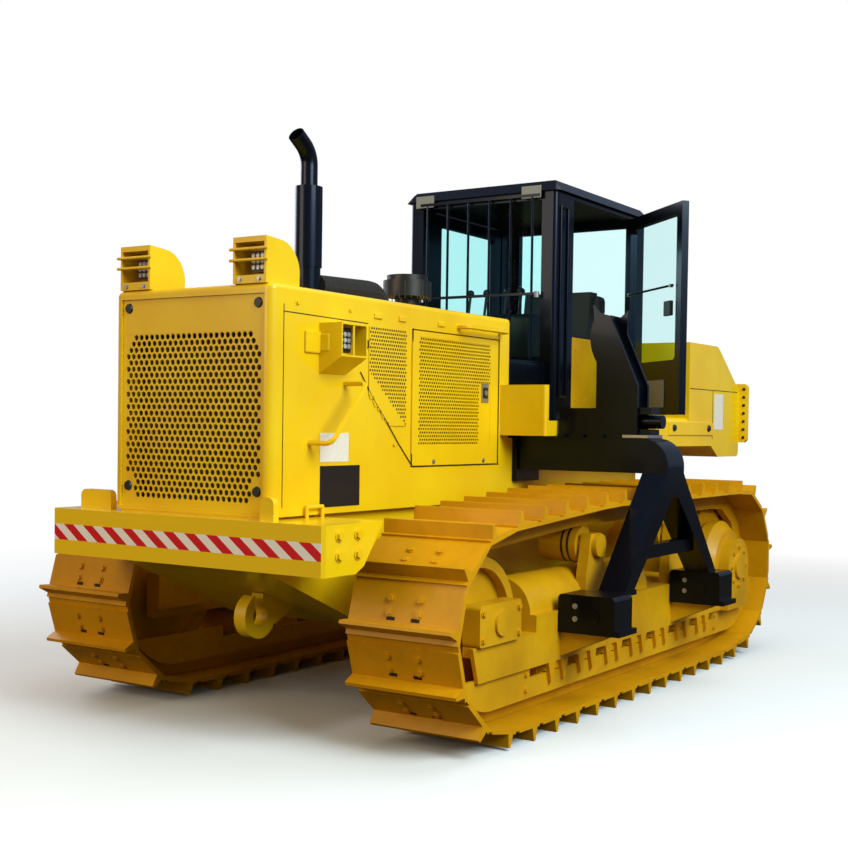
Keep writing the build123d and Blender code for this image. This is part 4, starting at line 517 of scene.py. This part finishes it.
def hood_vents():
    """Vents ahead of the engine doors, cut off on a slant: a fine screen over a brown backing that paints
    the shade inside the holes.
    """
    columns, rows = 17, 26
    pitch, rise, hole = 18.4 * MM, 18.3 * MM, 7 * MM
    half_u, half_v = columns * pitch / 2, rows * rise / 2
    stand_off, sheet_wall = 4 * MM, 2 * MM
    back_depth, back_wall = 3.5 * MM, 1.5 * MM
    middle = Vector((1365 * MM, hood_half + stand_off, 1695 * MM))
    slant_height = 1.1 * half_v
    margin = 140 * MM

    def reach(v):
        """How far the holes go forward from the rear edge at this height."""
        return min(1, (v + half_v) / slant_height) * 2 * half_u

    def kind(u, v):
        """Holes up to the slant, then a plain margin."""
        past = u + half_u - reach(v)
        return "hole" if past < 0 else "plain" if past < margin else None

    for side, name in ((1, "left"), (-1, "right")):
        sheet, back = shapes(2)
        perforated(sheet, facing(middle, AHEAD, UP), columns, rows, pitch, rise, hole, kind)
        # the brown backing behind the holes is painted shade
        for row in range(rows):
            v = (row + 0.5) * rise - half_v
            low = middle + Vector((-half_u, -back_depth, v - rise / 2))
            block(back, low, low + Vector((reach(v) - pitch / 2, back_wall, rise)))
        for shape in (sheet, back):
            if side < 0:
                flip(shape)
        painted(name + "_vent_screen", sheet, wall=sheet_wall)
        painted(name + "_vent_shade_backing", back, "radiator_black")


def shoe_faces(node):
    """Middle, outward normal and direction along the track of each shoe's outer plate."""
    least_area, least_length = 0.01, 90 * MM
    lap, sideways = 1 * MM, 0.01
    mesh = nodes[node].data
    low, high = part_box(node)
    middle = (low + high) / 2
    planes = {}
    for face in mesh.polygons:
        normal = face.normal
        outward = normal.dot(face.center - middle)
        if abs(normal.y) > sideways or outward < 0 or face.area < least_area:
            continue
        level = face.center.dot(normal)
        key = (round(normal.x, 2), round(normal.z, 2), round(level, 2))
        along = Vector((normal.z, 0, -normal.x))
        spread = [mesh.vertices[v].co.dot(along) for v in face.vertices]
        planes.setdefault(key, []).append((min(spread), max(spread), normal.copy(), level, along))
    plates = []
    for runs in planes.values():
        runs.sort(key=lambda run: run[0])
        joined = [list(runs[0])]
        for run in runs[1:]:
            if run[0] < joined[-1][1] - lap:
                joined[-1][1] = max(joined[-1][1], run[1])
            else:
                joined.append(list(run))
        for start, end, normal, level, along in joined:
            if end - start > least_length:
                place = normal * level + along * (start + end) / 2
                plates.append((place + LEFT * middle.y, normal, along))
    return plates


def track_fasteners():
    """Four shoe bolts a plate, and the two dark slots beside the lap of each shoe."""
    bolt_along, bolt_across = 31 * MM, 80 * MM
    slot_along, slot_across = 58 * MM, 65 * MM
    slot_length, slot_width, slot_depth = 16 * MM, 44 * MM, 2 * MM
    heads, slots = shapes(2)
    for node in ("left_track", "right_track"):
        for place, normal, along in shoe_faces(node):
            spots = [
                place + along * a * bolt_along + LEFT * b * bolt_across for a in (-1, 1) for b in (-1, 1)
            ]
            bolts(heads, spots, normal, head=15 * MM, height=12 * MM)
            turn = Matrix((along, LEFT, normal)).transposed().to_4x4()
            for b in (-slot_across, slot_across):
                spot = Matrix.Translation(place + along * slot_along + LEFT * b) @ turn
                fit = spot @ Matrix.Diagonal((slot_length, slot_width, slot_depth, 1))
                bmesh.ops.create_cube(slots, size=1, matrix=fit)
    painted("shoe_bolts", heads, "track_steel")
    piece("shoe_slots", slots, joint_dark, "dark_steel")


def sheet_joints():
    """Dark joint lines between the hood's sheets, on both sides."""
    line_radius = 2.5 * MM
    # how far each line stands off the hood's face, and its points as x and z, all in millimetres
    lines = (
        (0, ((2140, 1090), (2140, 1985))),
        (4, ((1588, 1711), (1490, 1592), (1382, 1487), (1270, 1370), (1150, 1258))),
        (0, ((2140, 1952), (1530, 1944))),
        (0, ((1150, 1258), (1150, 1950))),
        (0, ((1150, 1252), (300, 1252))),
        (0, ((308, 1252), (308, 1950))),
    )
    joints = bmesh.new()
    for side in (-1, 1):
        for proud, line in lines:
            points = [at(x, 0, z) + LEFT * side * (hood_half + proud * MM) for x, z in line]
            for start, end in zip(points, points[1:]):
                rod(joints, start, end, line_radius, sides=6)
    piece("hood_joints", joints, joint_dark, "dark_steel")


def hood_fittings():
    """Screws, clips and blank plates on the hood's sides, a tab, and the plate that closes its rear."""
    # x and z of the screws and clips on each side
    screw_places = ((2048, 1998), (1667, 1997), (1477, 1598), (1304, 1367))
    clip_places = ((1451, 1985), (1247, 1987), (900, 1988))
    clip_half = at(32, 8, 13)
    screws = bmesh.new()
    for side in (-1, 1):
        normal = LEFT * side
        spots = [at(x, 0, z) + normal * hood_half for x, z in screw_places]
        bolts(screws, spots, normal, head=10 * MM, height=8 * MM)
        for x, z in clip_places:
            place = at(x, 0, z) + normal * hood_half
            block(screws, place - clip_half, place + clip_half, edge=4 * MM)
    painted("hood_screws", screws)
    plate_wall = 2
    # name, two corners as x and z, finish and slot of each blank plate
    plates = (
        ("black_plate", (1582, 1080), (1879, 1270), finish["black_plastic"], "black_plastic"),
        ("white_plate", (1671, 1288), (1881, 1421), plate_white, "yellow_paint"),
    )
    face = LEFT * hood_half
    for name, low, high, look, slot in plates:
        sheet = bmesh.new()
        block(sheet, face + at(low[0], 0, low[1]), face + at(high[0], plate_wall, high[1]))
        piece(name, sheet, look, slot)
    tab, bulkhead = shapes(2)
    # two corners of each block of the tab, with y off the hood's face
    tab_blocks = (((1875, -2, 1780), (1999, 12, 1880)), ((1880, 8, 1790), (1900, 60, 1870)))
    for low, high in tab_blocks:
        block(tab, face + at(*low), face + at(*high), edge=6 * MM)
    painted("hood_tab", tab)
    rear_set, rear_wall, clear, foot = 6 * MM, 6 * MM, 15 * MM, 1300 * MM
    rear, inner = hood_rear + rear_set, hood_half - clear
    block(bulkhead, (rear, -inner, foot), (rear + rear_wall, inner, hood_top - clear))
    painted("hood_bulkhead", bulkhead)


def lamp_front(fronts, dots, place, half, normal):
    """The clear front of a work lamp: a dark bezel with a grid of silvered cups, facing along normal."""
    bezel, cup_set, cup_depth = 4 * MM, 3 * MM, 4 * MM
    cup_pitch, cup_radius, cup_tip = 0.62 * half, 0.29 * half, 0.22 * half
    across = UP.cross(normal)
    corner = (across + UP) * half
    ends = [place - corner, place + corner + normal * bezel]
    low, high = (Vector(choose(e[i] for e in ends) for i in range(3)) for choose in (min, max))
    block(fronts, low, high, edge=2 * MM)
    for row in (-1, 0, 1):
        for column in (-1, 0, 1):
            cup = place + normal * cup_set + (across * column + UP * row) * cup_pitch
            rod(dots, cup, cup + normal * cup_depth, cup_radius, sides=12, tip=cup_tip)


def lamp_fittings():
    """Clear fronts, guard bars and bolts of the lamps on the hood and of the lamp on its left."""
    fronts, dots, bars, heads = shapes(4)
    lamp_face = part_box("headlamps")[1].x
    low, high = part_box("lamp_boxes")
    inner, outer = 256 * MM, high.y
    middle_z = (low.z + high.z) / 2
    lamp_half = 42 * MM
    bar_set, bar_past, bar_radius = 5 * MM, 14 * MM, 7 * MM
    bar_heights = (middle_z, middle_z + 48 * MM)
    bolt_side, bolt_rise = 40 * MM, 18 * MM
    for side in (-1, 1):
        middle = Vector((lamp_face, side * (inner + outer) / 2, middle_z))
        lamp_front(fronts, dots, middle, lamp_half, AHEAD)
        for z in bar_heights:
            spots = (inner - bar_past, outer + bar_past)
            ends = [Vector((hood_front + bar_set, side * y, z)) for y in spots]
            rod(bars, *ends, bar_radius, sides=10)
        spots = (inner + bolt_side, outer - bolt_side)
        places = [Vector((hood_front, side * y, low.z + bolt_rise)) for y in spots]
        bolts(heads, places, AHEAD, head=9 * MM, height=7 * MM)
    # the lamp on the left is the part of the node that lies outside the boxes
    corners = [v.co for v in nodes["headlamps"].data.vertices if v.co.y > 1.02 * outer]
    low, high = (Vector(choose(c[i] for c in corners) for i in range(3)) for choose in (min, max))
    middle = (low + high) / 2
    middle.y = high.y
    # shares of the lamp's width and of its box: the front's half, the bar's place and its foot
    front_share, bar_share, foot_share = 0.46, 0.36, 0.32
    lamp_front(fronts, dots, middle, front_share * (high.x - low.x), LEFT)
    box_low, box_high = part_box("side_lamp_box")
    size = box_high - box_low
    side_set, top_set, side_radius = 8 * MM, 4 * MM, 6 * MM
    post = Vector((high.x - bar_share * size.x, box_high.y - side_set, 0))
    foot, top = box_low.z + foot_share * size.z, box_high.z - top_set
    rod(bars, post + UP * foot, post + UP * top, side_radius, sides=10)
    painted("lamp_fronts", fronts, "lamp_black")
    piece("lamp_reflectors", dots, lens, "lamp_black")
    painted("lamp_bars", bars)
    piece("lamp_bolts", heads, zinc, "dark_steel")


def bumper_fittings():
    """Bolts on the bumper's ends and the handle beside the hood."""
    bolt_places, bolt_heights = (2180, 2050), (990, 905)
    heads, handle = shapes(2)
    for side in (-1, 1):
        normal = LEFT * side
        spots = [at(x, 0, z) + normal * bumper_corner.y for x in bolt_places for z in bolt_heights]
        bolts(heads, spots, normal, head=19 * MM, height=16 * MM)
    painted("bumper_bolts", heads)
    rear, front, foot, top, stand_off = 1880, 1990, 1032, 1088, 18
    corners = ((rear, foot), (rear, top), (front, top), (front, foot))
    points = [at(x, stand_off, z) + LEFT * hood_half for x, z in corners]
    bent_bar(handle, points, radius=9 * MM)
    painted("deck_handle", handle)


def cab_fittings():
    """Blank plates under the roof's edge, knobs on the window guard and a hand rail on the pillar."""
    marks, knobs, rail = shapes(3)
    roof_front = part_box("cab_roof")[1].x
    plate_width, plate_wall, plate_low, plate_high = 131, 4, 2820, 2892
    for y in (-436, 325):
        low, high = at(0, y, plate_low), at(plate_wall, y + plate_width, plate_high)
        block(marks, low + AHEAD * roof_front, high + AHEAD * roof_front)
    piece("roof_plates", marks, plate_grey, "lamp_black")
    guard_low, guard_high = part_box("window_guard")
    knob_set, knob_sink, knob_height = 12 * MM, 4 * MM, 2250 * MM
    half_length, knob_radius = UP * 18 * MM, 14 * MM
    for y in (guard_low.y + knob_set, guard_high.y - knob_set):
        place = Vector((guard_high.x - knob_sink, y, knob_height))
        rod(knobs, place - half_length, place + half_length, knob_radius)
    piece("guard_knobs", knobs, zinc, "lamp_black")
    front, rear, foot, top, stand_off = -262, -350, 1650, 2770, 6
    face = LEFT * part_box("cab_frame")[1].y
    corners = ((front, foot), (front, top), (rear, top), (rear, foot), (front, foot))
    bent_bar(rail, [face + at(x, stand_off, z) for x, z in corners], radius=8 * MM)
    painted("pillar_rail", rail, "black_paint")


def cab_inside():
    """Levers on the console, a cushion across the seat's back and a panel beside the seat."""
    levers, cushion, panel = shapes(3)
    console_low, console_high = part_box("control_console")
    lever_set, lever_sink = 60 * MM, 10 * MM
    lever, lever_radius = at(-30, 0, 150), 9 * MM
    knob_rise, knob_radius = UP * 10 * MM, 24 * MM
    for y in (-180, -60, 90, 190):
        foot = Vector((console_low.x + lever_set, y * MM, console_high.z - lever_sink))
        rod(levers, foot, foot + lever, lever_radius)
        knob = Matrix.Translation(foot + lever + knob_rise)
        bmesh.ops.create_uvsphere(
            levers, u_segments=16, v_segments=10, radius=knob_radius, matrix=knob
        )
    painted("levers", levers, "black_plastic")
    seat_low, seat_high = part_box("operator_seat")
    top = Vector((seat_low.x, 0, seat_high.z))
    block(cushion, top + at(-60, -230, -160), top + at(60, 320, -20), edge=35 * MM)
    painted("back_cushion", cushion, "seat_vinyl")
    inner, outer = 335, 385
    block(panel, at(-1225, inner, 1430), at(-735, outer, 2035), edge=6 * MM)
    screws = [at(x, outer, z) for x in (-800, -960) for z in (1640, 1960)]
    bolts(panel, screws, LEFT, head=8 * MM, height=5 * MM)
    # the panel takes the darker copy of the yellow: painted shade
    piece("seat_side_panel", panel, shaded_enamel, "yellow_paint")


def left_door_fittings():
    """A rod across the window, a latch and a grey panel on the inside of the left cab door."""
    joints = frame["record"]["behaviour"]["joints"]
    hinge = next(joint for joint in joints if joint["name"] == "left_door_hinge")
    open_by = -math.radians(hinge["range_deg"][0])
    # the pieces are made on the shut door, in its hinge's frame, and turned open with it
    leaf = Matrix.Translation((*hinge["pos_m"][:2], 0)) @ Matrix.Rotation(open_by, 4, "Z")
    shut = [leaf.inverted() @ v.co for v in nodes["left_door"].data.vertices]
    width = max(c.x for c in shut)
    inside = min(c.y for c in shut)
    bottom = min(c.z for c in shut)

    def on_door(share, depth, height):
        """A point on the door: share of its width, depth inside it and height above its foot in mm."""
        return Vector((share * width, inside - depth * MM, bottom + height * MM))

    bar_height, bar_gap = 780, 14
    bar_radius, end_radius = 7 * MM, 11 * MM
    panel_wall, panel_foot, panel_top = 5, 45, 215
    bar, panel, latch, ends = shapes(4)
    rod(bar, on_door(0.06, bar_gap, bar_height), on_door(0.9, bar_gap, bar_height), bar_radius)
    for share in (0.1, 0.86):
        tip, root = on_door(share, 1.5 * bar_gap, bar_height), on_door(share, 0, bar_height)
        rod(ends, tip, root, end_radius)
    block(panel, on_door(0.33, panel_wall, panel_foot), on_door(0.75, 0, panel_top), edge=2 * MM)
    screws = [on_door(share, panel_wall, z) for share in (0.36, 0.72) for z in (65, 195)]
    bolts(ends, screws, RIGHT, head=7 * MM, height=5 * MM)
    block(latch, on_door(0.77, 24, 600), on_door(0.88, 0, 690), edge=4 * MM)
    for name, shape, look, slot in (
        ("door_bar", bar, finish["black_paint"], "black_paint"),
        ("door_panel", panel, plate_grey, "lamp_black"),
        ("door_latch", latch, finish["black_plastic"], "black_plastic"),
        ("door_fasteners", ends, zinc, "lamp_black"),
    ):
        bmesh.ops.transform(shape, matrix=leaf, verts=shape.verts)
        piece(name, shape, look, slot, "left_door")


def tank_fittings():
    """Joint lines, lower covers with knobs, a blank plate and the rear guard's bolts."""
    joints, covers, knobs, sheet, heads = shapes(5)
    line_radius = 2.5 * MM
    # two ends of each joint line on the tank's side, as x and z
    lines = (((-1490, 1735), (-2370, 1735)), ((-1900, 1735), (-1900, 1400)))
    cover_half, cover_set = 6 * MM, 3 * MM
    knob_places, knob_height = (-1218, -1808), 1472
    knob_foot, knob_top, knob_length = 24 * MM, 18 * MM, 12 * MM
    for side in (-1, 1):
        normal = LEFT * side
        for line in lines:
            ends = [at(x, 0, z) + normal * tank_half for x, z in line]
            rod(joints, *ends, line_radius, sides=6)
        face = LEFT * side * (tank_half + cover_set)
        low, high = at(-1895, 0, 1425), at(-1140, 0, 1512)
        block(covers, face + low - LEFT * cover_half, face + high + LEFT * cover_half, edge=3 * MM)
        for x in knob_places:
            spot = at(x, 0, knob_height) + normal * (tank_half + cover_set + cover_half)
            rod(knobs, spot, spot + normal * knob_length, knob_foot, sides=20, tip=knob_top)
    piece("tank_joints", joints, joint_dark, "dark_steel")
    painted("tank_covers", covers)
    painted("cover_knobs", knobs, "black_plastic")
    block(sheet, at(-2090, 0, 1465) + LEFT * tank_half, at(-1930, 2, 1712) + LEFT * tank_half)
    piece("tank_plate", sheet, plate_white, "yellow_paint")
    guard_low, guard_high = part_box("rear_guard")
    bolt_count, bolt_margin, first_rise, bolt_pitch = 7, 25 * MM, 35 * MM, 58 * MM
    for y in (guard_low.y + bolt_margin, guard_high.y - bolt_margin):
        foot = Vector((guard_high.x, y, guard_low.z + first_rise))
        spots = [foot + UP * i * bolt_pitch for i in range(bolt_count)]
        bolts(heads, spots, AHEAD, head=8 * MM, height=7 * MM)
    # the bolt heads take the painted shadow of the joints
    piece("rear_guard_bolts", heads, joint_dark, "dark_steel")


def side_frame_fittings():
    """Keeper bolts and pins of the boom seats, the tower's base plate and its bolts."""
    heads, pins, base, studs = shapes(4)
    seat_fronts, keeper_side, keeper_heights = (888, -484), 1287, (527, 589)
    pin_side, pin_height, pin_radius = 1380, 540, 40 * MM
    for front in seat_fronts:
        spots = [at(front, keeper_side, z) for z in keeper_heights]
        bolts(heads, spots, AHEAD, head=10 * MM, height=12 * MM)
        ends = [at(x, pin_side, pin_height) for x in (front - 4, front + 5)]
        rod(pins, *ends, pin_radius, sides=24)
    piece("seat_bolts", heads, zinc, "dark_steel")
    painted("seat_pins", pins, "black_paint")
    block(base, at(-78, 1158, 1411), at(119, 1310, 1428), edge=2 * MM)
    piece("tower_base_plate", base, zinc, "dark_steel")
    stud_places, stud_sides, deck = (-92, 132), (800, 920, 1040), 1410
    spots = [at(x, y, deck) for x in stud_places for y in stud_sides]
    bolts(studs, spots, UP, head=13 * MM, height=16 * MM)
    painted("tower_bolts", studs, "black_paint")


def undercarriage_fittings():
    """Bolts on the idler blocks, bearing brackets and guard strips, and rings on the carriers."""
    heads, rings = shapes(2)
    block_face, bracket_face, strip_face = 1214 * MM, 1245 * MM, 1172 * MM
    axle_x, axle_z, ring_radius = -1480, 585, 125
    turns = [math.radians(a) for a in range(0, 360, 45)]
    block_spots = [at(x, 0, z) for x in (1310, 1625) for z in (510, 630)]
    ring_spots = [
        at(axle_x + ring_radius * math.cos(a), 0, axle_z + ring_radius * math.sin(a)) for a in turns
    ]
    strip_spots = [at(x, 0, z) for z in (285, 210) for x in (1165, -1245)]
    # places, distance of the face from the middle and head of each group of bolts
    groups = (
        (block_spots, block_face, 14 * MM),
        (ring_spots, bracket_face, 14 * MM),
        (strip_spots, strip_face, 13 * MM),
    )
    for side in (-1, 1):
        normal = LEFT * side
        for spots, face, head in groups:
            bolts(heads, [spot + normal * face for spot in spots], normal, head)
    painted("undercarriage_bolts", heads, "track_steel")
    low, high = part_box("carrier_rollers")
    radius = (high.z - low.z) / 2
    band_width, band_height = 12 * MM, 1 * MM
    for x in (low.x + radius, high.x - radius):
        for side in (-1, 1):
            for offset in (70, 105):
                start = Vector((x, side * (high.y - offset * MM), (low.z + high.z) / 2))
                rod(rings, start, start + LEFT * side * band_width, radius + band_height, sides=32)
    painted("carrier_rings", rings, "black_plastic")


def cleaner_ribs():
    """Ribs round the pre-cleaner's bowl."""
    ribs = bmesh.new()
    low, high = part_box("air_precleaner")
    axis = (low + high) / 2
    reach = (high.x - low.x) / 2 - 2 * MM
    foot, top = low.z + 95 * MM, high.z - 40 * MM
    count = 24
    for i in range(count):
        spot = axis + Matrix.Rotation(math.tau * i / count, 3, "Z") @ (AHEAD * reach)
        rod(ribs, (spot.x, spot.y, foot), (spot.x, spot.y, top), 3 * MM, sides=6)
    painted("cleaner_ribs", ribs, "black_plastic")


def stage_floor():
    """A pale floor with the shadow near the machine; it throws little light back, as earth does."""
    made, tree = material("studio_floor")
    place = add(tree, "TexCoord")
    scale = (1 / FLOOR_REACH, 1 / FLOOR_REACH, 1 / FLOOR_REACH)
    spread = add(tree, "Mapping", {"Vector": (place, "Object")}, {"Scale": scale})
    fade = add(tree, "TexGradient", {"Vector": (spread, "Vector")}, gradient_type="SPHERICAL")
    stops = ((0.05, BLACK_STOP), (0.55, WHITE_STOP))
    ramp = add(tree, "ValToRGB", {"Fac": (fade, "Fac")}, stops=stops)
    rays = add(tree, "LightPath")
    matt = add(tree, "BsdfDiffuse", inputs={"Color": linear(FLOOR_SEEN)})
    glow = add(tree, "Emission", inputs={"Color": WHITE_STOP, "Strength": 1})
    seen = add(tree, "MixShader", {"Fac": (ramp, "Color"), 1: (glow, "Emission"), 2: (matt, "BSDF")})
    dull = add(tree, "BsdfDiffuse", inputs={"Color": linear(FLOOR_THROWN)})
    choice = {"Fac": (rays, "Is Camera Ray"), 1: (dull, "BSDF"), 2: (seen, "Shader")}
    mixed = add(tree, "MixShader", choice)
    add(tree, "OutputMaterial", {"Surface": (mixed, "Shader")})
    mesh = bpy.data.meshes.new("floor")
    grid = bmesh.new()
    bmesh.ops.create_grid(grid, x_segments=1, y_segments=1, size=FLOOR_HALF)
    grid.to_mesh(mesh)
    grid.free()
    floor = bpy.data.objects.new("floor", mesh)
    mesh.materials.append(made)
    bpy.context.scene.collection.objects.link(floor)


def studio_light():
    """White to the eye, warm as fill and cool in gloss; a soft key on the left and weaker lamps."""
    world = bpy.data.worlds.new("studio")
    bpy.context.scene.world = world
    world.use_nodes = True
    tree = world.node_tree
    tree.nodes.clear()
    rays = add(tree, "LightPath")
    either = {0: (rays, "Is Camera Ray"), 1: (rays, "Is Transmission Ray")}
    seen = add(tree, "Math", either, operation="MAXIMUM")
    level = add(tree, "MapRange", {"Value": (seen, "Value")}, {"To Min": WORLD_LEVEL, "To Max": 1.0})
    pair = {6: linear(WORLD_WARM), 7: linear(WORLD_COOL)}
    tint = add(tree, "Mix", {0: (rays, "Is Glossy Ray")}, pair, data_type="RGBA")
    over = {0: (seen, "Value"), 6: (tint, 2)}
    colour = add(tree, "Mix", over, {7: WHITE_STOP}, data_type="RGBA")
    sky = add(tree, "Background", {"Strength": (level, "Result"), "Color": (colour, 2)})
    add(tree, "OutputWorld", {"Surface": (sky, "Background")})
    # name, place, aim, size, power and colour of each area lamp
    lamps = (
        ("key", (3.0, 9.0, 7.0), (0, 0.3, 1.0), 6.0, 1260, "#F6FFF6"),
        ("top", (-2.0, 2.0, 9.0), (0, 0, 1.0), 6.0, 200, "#FFFFFF"),
        ("front", (9.0, -3.0, 4.0), (1.5, 0, 1.0), 4.0, 270, "#FFE0B4"),
        ("right", (-1.0, -9.0, 6.0), (0, -0.3, 1.0), 6.0, 350, "#FFFFFF"),
    )
    for name, place, aim, size, power, code in lamps:
        data = bpy.data.lights.new(name, "AREA")
        data.size = size
        data.energy = power
        data.color = linear(code)[:3]
        lamp = bpy.data.objects.new(name, data)
        lamp.location = place
        lamp.rotation_euler = (Vector(aim) - Vector(place)).to_track_quat("-Z", "Y").to_euler()
        bpy.context.scene.collection.objects.link(lamp)


def photo_camera():
    """The photograph's camera."""
    heading, pitch, roll = (math.radians(a) for a in (CAMERA_HEADING, CAMERA_PITCH, CAMERA_ROLL))
    ahead = Vector((
        math.cos(heading) * math.cos(pitch),
        math.sin(heading) * math.cos(pitch),
        math.sin(pitch),
    ))
    level = ahead.cross(UP).normalized()
    above = level.cross(ahead)
    right = level * math.cos(roll) + above * math.sin(roll)
    up = above * math.cos(roll) - level * math.sin(roll)
    data = bpy.data.cameras.new("camera")
    data.sensor_width = CAMERA_SENSOR
    data.lens = CAMERA_LENS
    data.shift_x, data.shift_y = CAMERA_SHIFT
    camera = bpy.data.objects.new("camera", data)
    turn = Matrix((right, up, -ahead)).transposed().to_4x4()
    camera.matrix_world = Matrix.Translation(CAMERA_PLACE) @ turn
    bpy.context.scene.collection.objects.link(camera)
    bpy.context.scene.camera = camera


front_screen()
engine_door(1, "left_engine_door")
engine_door(-1, "right_engine_door")
hood_vents()
track_fasteners()
sheet_joints()
hood_fittings()
lamp_fittings()
bumper_fittings()
cab_fittings()
cab_inside()
left_door_fittings()
tank_fittings()
side_frame_fittings()
undercarriage_fittings()
cleaner_ribs()
stage_floor()
studio_light()
photo_camera()
bpy.context.scene.view_settings.view_transform = "Standard"
